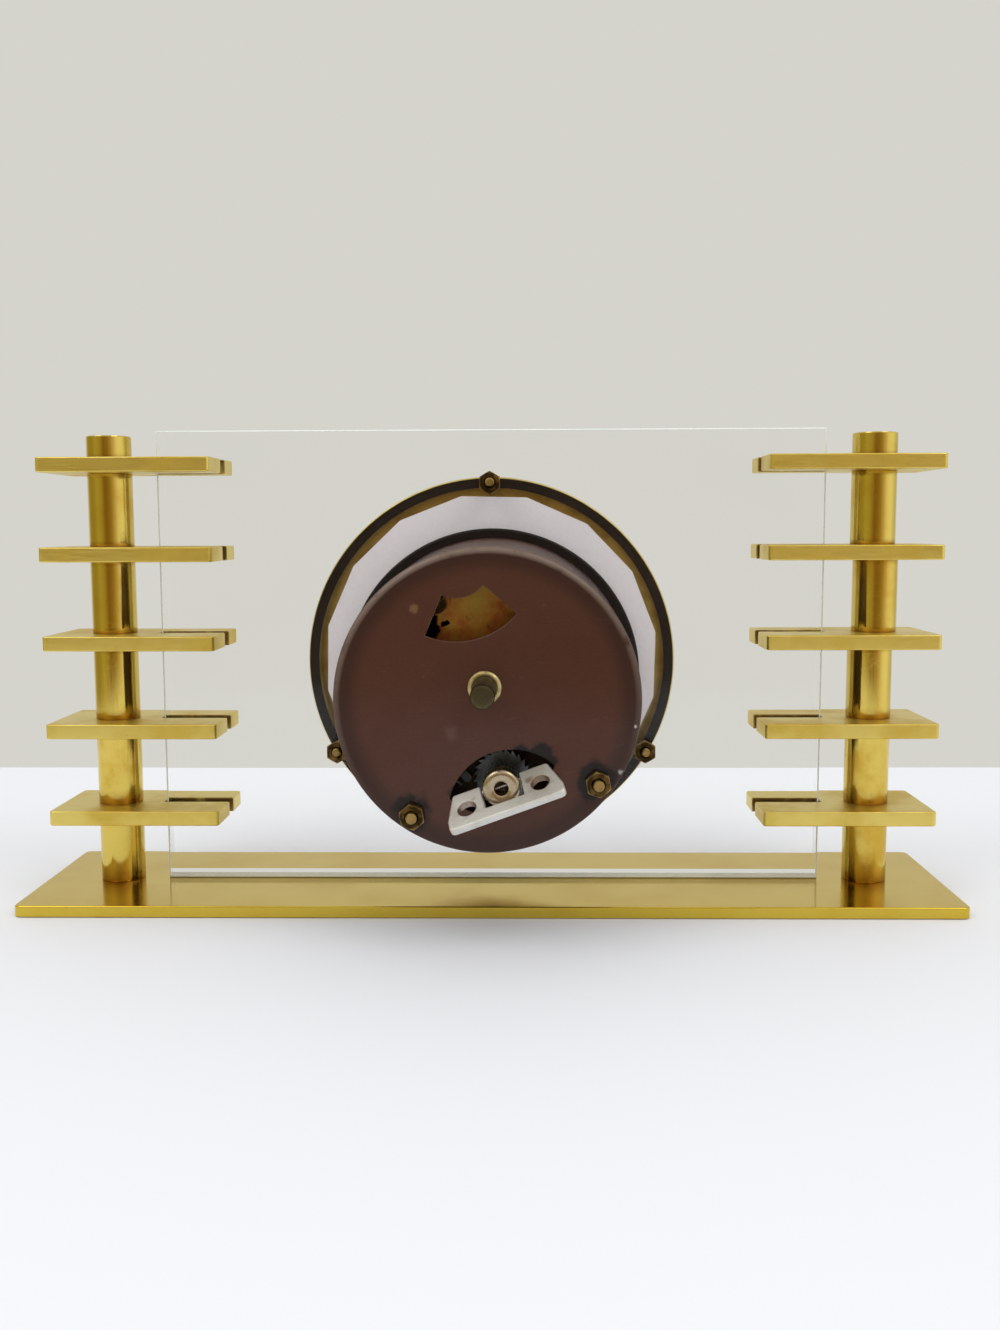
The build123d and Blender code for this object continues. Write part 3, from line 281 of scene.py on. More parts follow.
class Shape:
    """Mesh of one piece in millimetres, gathered ring by ring."""

    def __init__(self) -> None:
        """Starts with no faces and an edge layer for rubbed edges, tarnish, painted shade and painted highlights."""
        self.mesh = bmesh.new()
        self.edge = self.mesh.verts.layers.float.new("edge")

    def ring(self, points: Iterable[Sequence[float]], edge: Marking = 0.0) -> Ring:
        """Adds the points of one ring.

        Args:
            points: Its points in order.
            edge: Value for rubbing, tarnish, painted shade and painted highlight, one for all or one for each point.

        Returns:
            Its vertices.
        """
        ring = [self.mesh.verts.new(point) for point in points]
        values = [edge] * len(ring) if isinstance(edge, (int, float)) else edge
        for vertex, value in zip(ring, values):
            vertex[self.edge] = value
        return ring

    def level(self, points: Iterable[Point], depth: float, edge: Marking = 0.0) -> Ring:
        """Adds a flat ring at one depth."""
        return self.ring([(x, y, depth) for x, y in points], edge)

    def band(self, first: Ring, second: Ring) -> None:
        """Joins two rings of the same count by four-sided faces."""
        for corners in zip(first, first[1:] + first[:1], second[1:] + second[:1], second):
            self.mesh.faces.new(corners)

    def loft(self, rings: Sequence[Ring]) -> None:
        """Joins rings in order, without end faces."""
        for first, second in zip(rings, rings[1:]):
            self.band(first, second)

    def fill(self, rings: Sequence[Ring]) -> None:
        """Closes a flat outline.

        Args:
            rings: The outline, and then the holes to leave open.
        """
        if len(rings) == 1:
            self.mesh.faces.new(rings[0])
            return
        edges = []
        for ring in rings:
            edges += [self.mesh.edges.get((ring[i - 1], ring[i])) for i in range(len(ring))]
        bmesh.ops.triangle_fill(self.mesh, use_beauty=True, edges=edges, normal=(0, 0, 1))

    def solid(self, rings: Sequence[Ring], hollow: bool) -> None:
        """Closes a stack of rings.

        Args:
            rings: The rings in order.
            hollow: True joins the last ring to the first, False closes both ends flat.
        """
        self.loft(rings)
        if hollow:
            self.band(rings[-1], rings[0])
        else:
            self.fill(rings[:1])
            self.fill(rings[-1:])

    def turned(
        self,
        profile: Sequence[Point],
        steps: int,
        at: Point = MIDDLE,
        hollow: bool = False,
        edge: Optional[Callable[[float], float]] = None,
    ) -> "Shape":
        """Turns a profile about the local z axis.

        Args:
            profile: Radius and depth of each ring in order.
            steps: Points in a ring.
            at: The axis's place.
            hollow: True joins the last ring to the first, False closes both ends flat.
            edge: Rubbing, tarnish and painted shade at a depth.

        Returns:
            The shape itself.
        """
        rings = []
        for radius, depth in profile:
            rings.append(self.level(circle(radius, steps, at), depth, edge(depth) if edge else 0.0))
        self.solid(rings, hollow)
        return self

    def plate(self, *loops: Loop) -> "Shape":
        """Makes a flat plate.

        Args:
            loops: Its outer loop, and then the loops of its holes.

        Returns:
            The shape itself.
        """
        stacks = []
        for loop in loops:
            stack = []
            for index, (depth, distance) in enumerate(loop.levels):
                points = inset(loop.points, distance) if distance else loop.points
                wall = 0 < index < len(loop.levels) - 1
                stack.append(self.level(points, depth, loop.edge if wall else 0.0))
            self.loft(stack)
            stacks.append(stack)
        self.fill([stack[0] for stack in stacks])
        self.fill([stack[-1] for stack in stacks])
        return self

    def threaded(self, radius: float, low: float, high: float, at: Point) -> None:
        """Adds a threaded rod with a softened end.

        Args:
            radius: Outer radius of the thread.
            low: Depth of its plain start.
            high: Depth of its end.
            at: Its place.
        """
        pitch, groove, steps, turn_rings = 0.5, 0.14, 24, 8
        tip, slope = 0.4, 0.9
        count = max(turn_rings, round((high - low) / pitch * turn_rings))
        rings = []
        for index in range(count + 1):
            along = low + (high - low) * index / count
            taper = max(0.0, along - high + tip) * slope
            points = []
            for step in range(steps):
                wave = math.cos(2 * math.pi * ((along - low) / pitch - step / steps))
                reach = radius - taper - groove * (0.5 - 0.5 * wave)
                points.append((*polar(reach, 360 * step / steps, at), along))
            rings.append(self.ring(points, 1.0 if taper else 0.0))
        self.solid(rings, hollow=False)

    def hexagon_nut(self, bore: float, low: float, high: float, at: Point) -> None:
        """Adds a hexagon nut with turned corners and a countersunk bore.

        Args:
            bore: Radius of the bore.
            low: Depth of its seat.
            high: Depth of its top.
            at: Its place.
        """
        side_points, sink, fall, seat_wear = 8, 0.3, 0.55, 0.3
        flat = NUT_FLATS / 2
        start = flat - 0.06
        land = start - 0.05
        outline = []
        for side in range(6):
            for step in range(side_points):
                angle = -30 + 60 * step / side_points
                outline.append((flat / math.cos(math.radians(angle)), angle + 60 * side))
        drops = [max(0.0, (reach - start) * fall) for reach, _ in outline]
        corners = [polar(reach, angle, at) for reach, angle in outline]

        def level(radius: float, depth: float) -> Ring:
            """Round ring in step with the hexagon's points."""
            return self.level([polar(radius, angle, at) for _, angle in outline], depth)

        rings = [
            level(land, low),
            self.ring([(*corner, low + drop) for corner, drop in zip(corners, drops)], seat_wear),
            self.ring([(*corner, high - drop) for corner, drop in zip(corners, drops)], 1.0),
            level(land, high),
            level(bore + sink, high),
            level(bore, high - sink),
            level(bore, low),
        ]
        self.solid(rings, hollow=True)


class Graph:
    """Adds and joins the nodes of one shader tree."""

    def __init__(self, tree: bpy.types.NodeTree) -> None:
        """Keeps the tree to work on."""
        self.tree = tree

    def feed(self, target: Socket, value: Feed) -> None:
        """Links a socket to an input, or sets the input's own value.

        Args:
            target: The input.
            value: A socket, a number, a vector or a colour.
        """
        if isinstance(value, bpy.types.NodeSocket):
            self.tree.links.new(value, target)
        elif target.type == "RGBA":
            target.default_value = (*value[:3], 1.0)
        else:
            target.default_value = value

    def put(self, node: bpy.types.Node, feeds: dict[Union[int, str], Feed]) -> None:
        """Feeds several inputs of a node by their names or numbers."""
        for name, value in feeds.items():
            self.feed(node.inputs[name], value)

    def node(
        self, kind: str, feeds: Optional[dict[Union[int, str], Feed]] = None, **settings: object
    ) -> bpy.types.Node:
        """Adds a node.

        Args:
            kind: Node type, without its ShaderNode prefix.
            feeds: Input name or number to value or socket.
            settings: Other properties of the node.

        Returns:
            The node.
        """
        made = self.tree.nodes.new("ShaderNode" + kind)
        for name, value in settings.items():
            setattr(made, name, value)
        self.put(made, feeds or {})
        return made

    def math(self, operation: str, first: Feed, second: Feed = 0.0, clamp: bool = True) -> Socket:
        """Result of a sum on one or two values, kept between 0 and 1 unless clamp is off."""
        return self.node("Math", {0: first, 1: second}, operation=operation, use_clamp=clamp).outputs[0]

    def vector(self, operation: str, first: Feed, second: Feed) -> Socket:
        """Result of a sum on two vectors."""
        return self.node("VectorMath", {0: first, 1: second}, operation=operation).outputs[0]

    def length(self, vector: Socket) -> Socket:
        """Length of a vector."""
        return self.node("VectorMath", {0: vector}, operation="LENGTH").outputs["Value"]

    def blend(self, mask: Feed, first: Feed, second: Feed) -> Socket:
        """Colour that goes from the first to the second with a mask."""
        return self.node("Mix", {0: mask, 6: first, 7: second}, data_type="RGBA").outputs[2]

    def span(self, value: Feed, low: Feed, high: Feed, start: float = 0.0, end: float = 1.0) -> Socket:
        """Value mapped smoothly from low to high onto start to end."""
        feeds = {"Value": value, "From Min": low, "From Max": high, "To Min": start, "To Max": end}
        return self.node("MapRange", feeds, interpolation_type="SMOOTHSTEP").outputs[0]

    def fade(self, value: Feed, limit: Feed) -> Socket:
        """One where the value is zero, falling evenly to zero at a limit."""
        return self.node("MapRange", {"Value": value, "From Min": limit, "From Max": 0.0}).outputs[0]

    def place(self) -> Socket:
        """The surface's own coordinates in millimetres."""
        own = self.node("TexCoord").outputs["Object"]
        return self.node("VectorMath", {0: own, "Scale": 1 / MM}, operation="SCALE").outputs[0]

    def bump(self, relief: float, height: Socket) -> Socket:
        """Surface direction over a relief in millimetres."""
        return self.node("Bump", {"Strength": 1.0, "Distance": relief * MM, "Height": height}).outputs[0]

    def clear(self, colour: Triple = (1.0, 1.0, 1.0)) -> Socket:
        """Shader that lets every ray through."""
        return self.node("BsdfTransparent", {"Color": colour}).outputs[0]

    def surface(self, mask: Feed, first: Socket, second: Socket) -> None:
        """Ends a material in a mix of two shaders."""
        mixed = self.node("MixShader", {0: mask, 1: first, 2: second}).outputs[0]
        self.feed(self.tree.nodes["Material Output"].inputs["Surface"], mixed)


def new_material(name: str) -> tuple[bpy.types.Material, Graph, bpy.types.Node]:
    """Starts a material.

    Args:
        name: Its name.

    Returns:
        The material, its tree and its shader.
    """
    material = bpy.data.materials.new(name)
    material.use_nodes = True
    return material, Graph(material.node_tree), material.node_tree.nodes["Principled BSDF"]


def new_object(name: str, data: bpy.types.ID, place: Matrix = PLAIN) -> bpy.types.Object:
    """Adds an object to the scene.

    Args:
        name: Its name.
        data: Its mesh, lamp or camera.
        place: Its place in the model's frame.

    Returns:
        The object.
    """
    made = bpy.data.objects.new(name, data)
    bpy.context.scene.collection.objects.link(made)
    made.matrix_world = place
    return made


class Effect(Enum):
    """Shader node groups that the finishes share."""

    CLOUDS = "patina_clouds"
    LINES = "drawn_lines"
    SPECKS = "fine_specks"
    SPOT = "soft_spot"
    SCRATCHES = "hairline_scratches"


class Effects:
    """Builds each shared node group once and places it in materials.

    Each method that makes a group takes the group's tree and its inputs, and returns the mask's socket.
    """

    SOCKETS = {
        Effect.CLOUDS: ("Vector", "Scale", "Low", "High"),
        Effect.LINES: ("Vector", "Scale", "Stretch"),
        Effect.SPECKS: ("Vector", "Scale", "Size", "Share"),
        Effect.SPOT: ("Vector", "Centre", "Radius", "Blur"),
        Effect.SCRATCHES: ("Vector", "Scale", "Stretch", "Width"),
    }
    VECTORS = ("Vector", "Stretch", "Centre")
    NOISE_ROUGHNESS = 0.6
    WOBBLE_SCALE = 1.4
    SPOT_END = 1.5
    BREAK_SCALE = 0.21
    BREAKS = (0.5, 0.62)

    def __init__(self) -> None:
        """Builds the groups."""
        self.groups = {}
        makers = (self._clouds, self._lines, self._specks, self._spot, self._scratches)
        for (effect, names), maker in zip(self.SOCKETS.items(), makers):
            tree = bpy.data.node_groups.new(effect.value, "ShaderNodeTree")
            for name in names:
                kind = "NodeSocketVector" if name in self.VECTORS else "NodeSocketFloat"
                tree.interface.new_socket(name, in_out="INPUT", socket_type=kind)
            tree.interface.new_socket("Mask", in_out="OUTPUT", socket_type="NodeSocketFloat")
            inside = tree.nodes.new("NodeGroupInput").outputs
            outside = tree.nodes.new("NodeGroupOutput").inputs
            graph = Graph(tree)
            graph.feed(outside["Mask"], maker(graph, inside))
            self.groups[effect] = tree

    def use(self, graph: Graph, effect: Effect, vector: Socket, *values: Feed) -> Socket:
        """Places a group in a material.

        Args:
            graph: The material's tree.
            effect: Which group.
            vector: Coordinates in millimetres.
            values: The group's other inputs in order.

        Returns:
            The mask's socket.
        """
        made = graph.node("Group", node_tree=self.groups[effect])
        graph.put(made, dict(zip(self.SOCKETS[effect], (vector, *values))))
        return made.outputs["Mask"]

    def _noise(self, graph: Graph, vector: Socket, scale: Feed, detail: float) -> Socket:
        """Plain noise value."""
        feeds = {"Vector": vector, "Scale": scale, "Detail": detail, "Roughness": self.NOISE_ROUGHNESS}
        return graph.node("TexNoise", feeds).outputs[0]

    def _clouds(self, graph: Graph, inside: Sequence[Socket]) -> Socket:
        """Irregular clouds between two noise levels."""
        noise = self._noise(graph, inside["Vector"], inside["Scale"], 5.0)
        return graph.span(noise, inside["Low"], inside["High"])

    def _lines(self, graph: Graph, inside: Sequence[Socket]) -> Socket:
        """Fine lines along the direction in which the noise is stretched."""
        pulled = graph.vector("MULTIPLY", inside["Vector"], inside["Stretch"])
        return self._noise(graph, pulled, inside["Scale"], 3.0)

    def _specks(self, graph: Graph, inside: Sequence[Socket]) -> Socket:
        """Small round specks in a share of the cells.

        Args:
            graph: The group's tree.
            inside: The group's inputs.

        Returns:
            The mask's socket.
        """
        cells = graph.node("TexVoronoi", {"Vector": inside["Vector"], "Scale": inside["Scale"]}).outputs
        edge = graph.fade(cells["Distance"], inside["Size"])
        chosen = graph.math("LESS_THAN", cells["Color"], inside["Share"])
        return graph.math("MULTIPLY", edge, chosen)

    def _spot(self, graph: Graph, inside: Sequence[Socket]) -> Socket:
        """Soft spot with an uneven rim.

        Args:
            graph: The group's tree.
            inside: The group's inputs.

        Returns:
            The mask's socket.
        """
        gap = graph.vector("SUBTRACT", inside["Vector"], inside["Centre"])
        own = graph.vector("DIVIDE", gap, inside["Radius"])
        wobble = self._noise(graph, graph.vector("ADD", own, inside["Centre"]), self.WOBBLE_SCALE, 2.0)
        uneven = graph.math("ADD", graph.length(own), wobble, clamp=False)
        return graph.span(uneven, self.SPOT_END, inside["Blur"])

    def _scratches(self, graph: Graph, inside: Sequence[Socket]) -> Socket:
        """Thin broken lines where stretched noise crosses its middle.

        Args:
            graph: The group's tree.
            inside: The group's inputs.

        Returns:
            The mask's socket.
        """
        pulled = graph.vector("MULTIPLY", inside["Vector"], inside["Stretch"])
        away = graph.math("SUBTRACT", self._noise(graph, pulled, inside["Scale"], 1.0), 0.5, clamp=False)
        line = graph.fade(graph.math("ABSOLUTE", away, clamp=False), inside["Width"])
        parts = graph.span(self._noise(graph, inside["Vector"], self.BREAK_SCALE, 2.0), *self.BREAKS)
        return graph.math("MULTIPLY", line, parts)


@dataclass(frozen=True)
class Mark:
    """Stain, dirt, rubbed place, painted shade or painted highlight on one piece, in its own millimetres."""

    centre: Triple
    radius: float
    colour: Triple
    strength: float = 1.0
    blur: float = 0.6


@dataclass(frozen=True)
class Finish:
    """What every finish has: a name, two colours, a sheen and marks."""

    name: str
    colour: Triple
    second: Triple
    roughness: Point = (0.2, 0.35)
    clouds: Triple = (0.05, 0.42, 0.68)
    marks: tuple[Mark, ...] = ()
    edge_colour: Triple = (0.3, 0.15, 0.05)
    edge_share: float = 0.0
    edge_clouds: Triple = (0.16, 0.22, 0.5)

    def tinted(self, graph: Graph, effects: Effects, place: Socket, colour: Socket) -> Socket:
        """Lays the edge layer's colour, for rubbed, tarnished, painted-shade and painted-highlight edges, and the
        marks over a colour.

        Args:
            graph: The material's tree.
            effects: The shared node groups.
            place: Coordinates in millimetres.
            colour: The colour below.

        Returns:
            The colour's socket.
        """
        if self.edge_share:
            edge = graph.node("Attribute", attribute_name="edge").outputs["Fac"]
            patchy = effects.use(graph, Effect.CLOUDS, place, *self.edge_clouds)
            shade = graph.math("MULTIPLY", graph.math("MULTIPLY", edge, patchy), self.edge_share)
            colour = graph.blend(shade, colour, self.edge_colour)
        for mark in self.marks:
            spot = effects.use(graph, Effect.SPOT, place, mark.centre, mark.radius, mark.blur)
            colour = graph.blend(graph.math("MULTIPLY", spot, mark.strength), colour, mark.colour)
        return colour

    def build(self, effects: Effects) -> bpy.types.Material:
        """The finished material."""
        raise NotImplementedError


@dataclass(frozen=True)
class Metal(Finish):
    """Bare metal with tarnish clouds, polishing lines, specks and fine scratches."""

    lines: tuple[float, Triple] = (3.0, (0.05, 1.0, 1.0))
    line_range: Point = (0.25, 0.75)
    relief: float = 0.02
    specks: Triple = (0.6, 0.12, 0.1)
    speck_colour: Triple = (0.2, 0.11, 0.04)
    scratches: tuple[float, Triple, float] = (0.5, (0.2, 1.0, 1.0), 0.006)
    scratch_depth: float = 0.6
    dulling: float = 0.12

    def build(self, effects: Effects) -> bpy.types.Material:
        """Makes the metal.

        Args:
            effects: The shared node groups.

        Returns:
            The finished material.
        """
        material, graph, shader = new_material(self.name)
        place = graph.place()
        clouds = effects.use(graph, Effect.CLOUDS, place, *self.clouds)
        lines = effects.use(graph, Effect.LINES, place, *self.lines)
        specks = effects.use(graph, Effect.SPECKS, place, *self.specks)
        scratches = effects.use(graph, Effect.SCRATCHES, place, *self.scratches)
        colour = graph.blend(specks, graph.blend(clouds, self.colour, self.second), self.speck_colour)
        dull = graph.math("MULTIPLY", graph.math("ADD", clouds, scratches), self.dulling)
        rough = graph.math("ADD", graph.span(lines, *self.line_range, *self.roughness), dull)
        height = graph.math("SUBTRACT", lines, graph.math("MULTIPLY", scratches, self.scratch_depth))
        graph.put(shader, {
            "Metallic": 1.0,
            "Base Color": self.tinted(graph, effects, place, colour),
            "Roughness": rough,
            "Normal": graph.bump(self.relief, height),
        })
        return material


@dataclass(frozen=True)
class Coating(Finish):
    """Paint, lacquer or enamel with a fine grain, specks, a clear sheen and painted shade, with some grime, towards
    a round rim.
    """

    grain: Point = (1.8, 0.02)
    grain_ranges: tuple[Point, Point] = ((0.36, 0.64), (0.3, 0.7))
    specks: Triple = (0.35, 0.1, 0.12)
    speck_colour: Triple = (0.4, 0.33, 0.3)
    speck_strength: float = 0.4
    scratches: tuple[float, Triple, float] = (0.35, (0.15, 1.0, 1.0), 0.004)
    scratch_colour: Triple = (0.3, 0.24, 0.22)
    scratch_strength: float = 0.5
    coat: float = 0.2
    coat_roughness: float = 0.25
    specular: float = 0.5
    # Rim settings paint shade, with some grime, that deepens towards a round rim.
    rim_centre: Triple = (0.0, 0.0, 0.0)
    rim_radii: Point = (1.0, 2.0)
    rim_shade_colour: Triple = (0.018, 0.008, 0.006)
    rim_shade_share: float = 0.0

    def _rim(self, graph: Graph, place: Socket) -> Socket:
        """Share of the painted shade, with some grime, that deepens towards a round rim."""
        flat = graph.vector("MULTIPLY", graph.vector("SUBTRACT", place, self.rim_centre), (1.0, 1.0, 0.0))
        return graph.math("MULTIPLY", graph.span(graph.length(flat), *self.rim_radii), self.rim_shade_share)

    def build(self, effects: Effects) -> bpy.types.Material:
        """Makes the coating.

        Args:
            effects: The shared node groups.

        Returns:
            The finished material.
        """
        material, graph, shader = new_material(self.name)
        place = graph.place()
        scale, relief = self.grain
        tone_range, sheen_range = self.grain_ranges
        clouds = effects.use(graph, Effect.CLOUDS, place, *self.clouds)
        grain = effects.use(graph, Effect.LINES, place, scale, (1.0, 1.0, 1.0))
        specks = effects.use(graph, Effect.SPECKS, place, *self.specks)
        scratches = effects.use(graph, Effect.SCRATCHES, place, *self.scratches)
        tone = graph.math("ADD", graph.math("MULTIPLY", clouds, 0.5), graph.span(grain, *tone_range, 0.0, 0.5))
        colour = graph.blend(tone, self.colour, self.second)
        colour = graph.blend(graph.math("MULTIPLY", specks, self.speck_strength), colour, self.speck_colour)
        colour = graph.blend(graph.math("MULTIPLY", scratches, self.scratch_strength), colour, self.scratch_colour)
        if self.rim_shade_share:
            colour = graph.blend(self._rim(graph, place), colour, self.rim_shade_colour)
        graph.put(shader, {
            "Base Color": self.tinted(graph, effects, place, colour),
            "Roughness": graph.span(grain, *sheen_range, *self.roughness),
            "Normal": graph.bump(relief, grain),
            "Specular IOR Level": self.specular,
            "Coat Weight": graph.span(clouds, 0.0, 1.0, self.coat, self.coat * 0.5),
            "Coat Roughness": self.coat_roughness,
        })
        return material


@dataclass(frozen=True)
class Glass(Finish):
    """Clear glass with a breath of dust, which lets light through to what stands behind it."""

    specular: float = 0.06
    bending: float = 1.2

    def build(self, effects: Effects) -> bpy.types.Material:
        """Makes the glass.

        Args:
            effects: The shared node groups.

        Returns:
            The finished material.
        """
        material, graph, shader = new_material(self.name)
        dust = effects.use(graph, Effect.CLOUDS, graph.place(), *self.clouds)
        graph.put(shader, {
            "Base Color": graph.blend(dust, self.colour, self.second),
            "Roughness": graph.span(dust, 0.0, 1.0, *self.roughness),
            "IOR": self.bending,
            "Specular IOR Level": self.specular,
            "Transmission Weight": 1.0,
        })
        path = graph.node("LightPath").outputs
        through = graph.math("MAXIMUM", path["Is Shadow Ray"], path["Is Diffuse Ray"])
        graph.surface(through, shader.outputs[0], graph.clear(self.colour))
        return material


class Workshop:
    """Turns shapes into finished pieces and dresses the carried-over nodes."""

    def __init__(self) -> None:
        """Builds the shared effects."""
        self.effects = Effects()
        self.materials: dict[str, bpy.types.Material] = {}

    def material(self, finish: Finish) -> bpy.types.Material:
        """Builds a finish the first time it is asked for.

        Args:
            finish: The finish.

        Returns:
            Its material.
        """
        if finish.name not in self.materials:
            self.materials[finish.name] = finish.build(self.effects)
        return self.materials[finish.name]

    def piece(
        self,
        shape: Shape,
        name: str,
        finish: Finish,
        slot: Slot,
        *nodes: str,
        place: Matrix = PLAIN,
        body: Body = Body.FRAME,
    ) -> None:
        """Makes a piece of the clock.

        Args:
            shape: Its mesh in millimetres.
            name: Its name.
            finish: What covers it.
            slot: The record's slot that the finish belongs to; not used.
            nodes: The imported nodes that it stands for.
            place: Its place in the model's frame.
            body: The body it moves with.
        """
        bmesh.ops.recalc_face_normals(shape.mesh, faces=shape.mesh.faces)
        bmesh.ops.scale(shape.mesh, vec=(MM, MM, MM), verts=shape.mesh.verts)
        mesh = bpy.data.meshes.new(name)
        shape.mesh.to_mesh(mesh)
        shape.mesh.free()
        mesh.shade_smooth()
        mesh.set_sharp_from_angle(angle=math.radians(SHARP_ANGLE))
        mesh.materials.append(self.material(finish))
        made = new_object(name, mesh, place)
        made.modifiers.new("even_shading", "WEIGHTED_NORMAL").keep_sharp = True
        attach(made, body.value)
        if nodes:
            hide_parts(*nodes)
        log.info("piece %s, %d faces, on %s", name, len(mesh.polygons), body.value)

    def dress(self, finish: Finish, *nodes: str) -> None:
        """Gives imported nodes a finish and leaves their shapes.

        Args:
            finish: What covers them.
            nodes: Their names.
        """
        for node in nodes:
            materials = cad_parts[node].data.materials
            materials.clear()
            materials.append(self.material(finish))
            log.info("node %s dressed in %s", node, finish.name)


# Near-black colour of the patches round the two can nuts.
CAN_NUT_PATCH = (0.008, 0.004, 0.003)
GREASE = (0.006, 0.003, 0.002)
BASE_BRASS = Metal(
    "base_brass", (0.70, 0.51, 0.07), (0.65, 0.445, 0.048), roughness=(0.08, 0.14), clouds=(0.035, 0.38, 0.72),
    lines=(2.2, (0.04, 1.0, 1.0)), relief=0.004, specks=(0.22, 0.09, 0.10), speck_colour=(0.42, 0.27, 0.06),
)
FIN_BRASS = Metal(
    "fin_brass", (0.79, 0.63, 0.17), (0.69, 0.50, 0.09), roughness=(0.28, 0.42), clouds=(0.05, 0.42, 0.70),
    lines=(3.4, (0.05, 1.0, 1.0)), relief=0.010, specks=(0.35, 0.08, 0.08), speck_colour=(0.42, 0.25, 0.06),
    # Edge colour: painted shade on the walls of the pane's slot.
    edge_colour=(0.25, 0.16, 0.055), edge_share=1.0,
)
COLUMN_BRASS = Metal(
    "column_brass", (0.71, 0.535, 0.115), (0.63, 0.40, 0.055), roughness=(0.07, 0.15), clouds=(0.07, 0.44, 0.72),
    lines=(3.0, (1.0, 1.0, 0.04)), relief=0.006, specks=(0.3, 0.12, 0.10), speck_colour=(0.30, 0.14, 0.03),
    edge_colour=(0.34, 0.16, 0.03), edge_share=0.95,
)
BEZEL_BRASS = Metal(
    "bezel_brass", (0.62, 0.46, 0.17), (0.44, 0.29, 0.08), roughness=(0.26, 0.42), clouds=(0.09, 0.40, 0.70),
    lines=(2.6, (1.0, 1.0, 0.1)), relief=0.010, specks=(0.5, 0.12, 0.14), speck_colour=(0.10, 0.06, 0.02),
    edge_colour=(0.62, 0.52, 0.15), edge_share=1.0,
)
NUT_BRASS = Metal(
    "nut_brass", (0.18, 0.11, 0.034), (0.04, 0.024, 0.010), roughness=(0.28, 0.5), clouds=(0.42, 0.34, 0.60),
    lines=(4.0, (1.0, 1.0, 0.2)), specks=(1.1, 0.2, 0.3), speck_colour=(0.03, 0.018, 0.008),
    edge_colour=(0.50, 0.34, 0.12), edge_share=0.6,
)
EYELET_BRASS = Metal(
    "eyelet_brass", (0.55, 0.46, 0.24), (0.32, 0.24, 0.09), roughness=(0.25, 0.42), clouds=(0.28, 0.40, 0.68),
    lines=(4.0, (1.0, 1.0, 0.3)), relief=0.015, specks=(1.0, 0.14, 0.2), speck_colour=(0.10, 0.06, 0.02),
)
MOVEMENT_BRASS = Metal(
    "movement_brass", (0.42, 0.24, 0.05), (0.38, 0.12, 0.032), roughness=(0.34, 0.55), clouds=(0.085, 0.36, 0.60),
    lines=(2.4, (1.0, 0.25, 1.0)), specks=(1.3, 0.25, 0.42), speck_colour=(0.05, 0.025, 0.008),
    marks=(
        # Painted shade: black gap at the regulator window's lower left corner.
        Mark((13.6, 47.5, 78.0), 3.4, (0.003, 0.002, 0.001), 1.0, 1.3),
        Mark((2.0, 47.5, 82.0), 6.0, (0.33, 0.24, 0.045), 0.6),
        # Painted shade: the plate behind the winding opening painted almost black.
        Mark((-4.0, 47.5, 41.5), 26.0, (0.010, 0.009, 0.009), 0.97, 1.2),
    ),
)
BRIGHT_STEEL = Metal(
    "bright_steel", (0.46, 0.45, 0.44), (0.26, 0.24, 0.22), roughness=(0.22, 0.40), clouds=(0.2, 0.40, 0.70),
    lines=(3.0, (1.0, 1.0, 0.2)), relief=0.012, specks=(0.8, 0.14, 0.15), speck_colour=(0.12, 0.07, 0.04),
)
# Deeper-toned copy of bright steel for the ratchet, click and arbor behind the winding opening: painted shade inside
# the case.
SHADED_STEEL = replace(BRIGHT_STEEL, name="shaded_steel", colour=(0.12, 0.135, 0.145), second=(0.03, 0.03, 0.032))
KNOB_STEEL = Metal(
    "knob_steel", (0.145, 0.12, 0.065), (0.095, 0.078, 0.042), roughness=(0.24, 0.42), clouds=(0.35, 0.38, 0.66),
    lines=(4.0, (0.4, 0.4, 1.6)), specks=(1.2, 0.14, 0.15), speck_colour=(0.06, 0.045, 0.03),
    edge_colour=(0.075, 0.062, 0.034), edge_share=0.9,
)
HUB_NICKEL = Metal(
    "hub_nickel", (0.45, 0.365, 0.25), (0.33, 0.25, 0.145), roughness=(0.16, 0.28), clouds=(0.25, 0.42, 0.72),
    lines=(4.0, (1.0, 1.0, 0.2)), relief=0.008, specks=(1.0, 0.12, 0.1), speck_colour=(0.2, 0.12, 0.06),
    # Edge colour: painted shade in the bore.
    edge_colour=(0.06, 0.04, 0.02), edge_share=1.0,
)
WING_ALUMINIUM = Metal(
    "wing_aluminium", (0.74, 0.73, 0.70), (0.62, 0.59, 0.54), roughness=(0.36, 0.52), clouds=(0.16, 0.40, 0.70),
    lines=(3.2, (0.08, 1.0, 1.0)), relief=0.015, specks=(0.7, 0.12, 0.12), speck_colour=(0.42, 0.36, 0.30),
    edge_colour=(0.26, 0.17, 0.10), edge_share=0.85,
    marks=(
        Mark((6.6, -2.2, 1.0), 1.5, (0.34, 0.18, 0.09), 0.7),
        Mark((-7.0, -1.8, 1.0), 0.9, (0.34, 0.20, 0.11), 0.4),
    ),
)
CLEAR_GLASS = Glass(
    "clear_glass", (0.997, 0.998, 0.996), (0.985, 0.987, 0.98), roughness=(0.0, 0.012), clouds=(0.03, 0.45, 0.75),
)
GROUND_GLASS = Coating(
    "ground_glass", (0.85, 0.87, 0.83), (0.70, 0.76, 0.71), roughness=(0.5, 0.7), grain=(2.4, 0.01),
    specks=(0.5, 0.08, 0.1), speck_colour=(0.62, 0.56, 0.44), coat=0.0,
)
DIAL_ENAMEL = Coating(
    "dial_enamel", (0.78, 0.73, 0.745), (0.72, 0.67, 0.68), roughness=(0.34, 0.46), clouds=(0.03, 0.35, 0.75),
    grain=(1.2, 0.004), specks=(0.2, 0.06, 0.05), speck_colour=(0.50, 0.45, 0.42), coat=0.1,
    scratch_colour=(0.60, 0.56, 0.57),
)
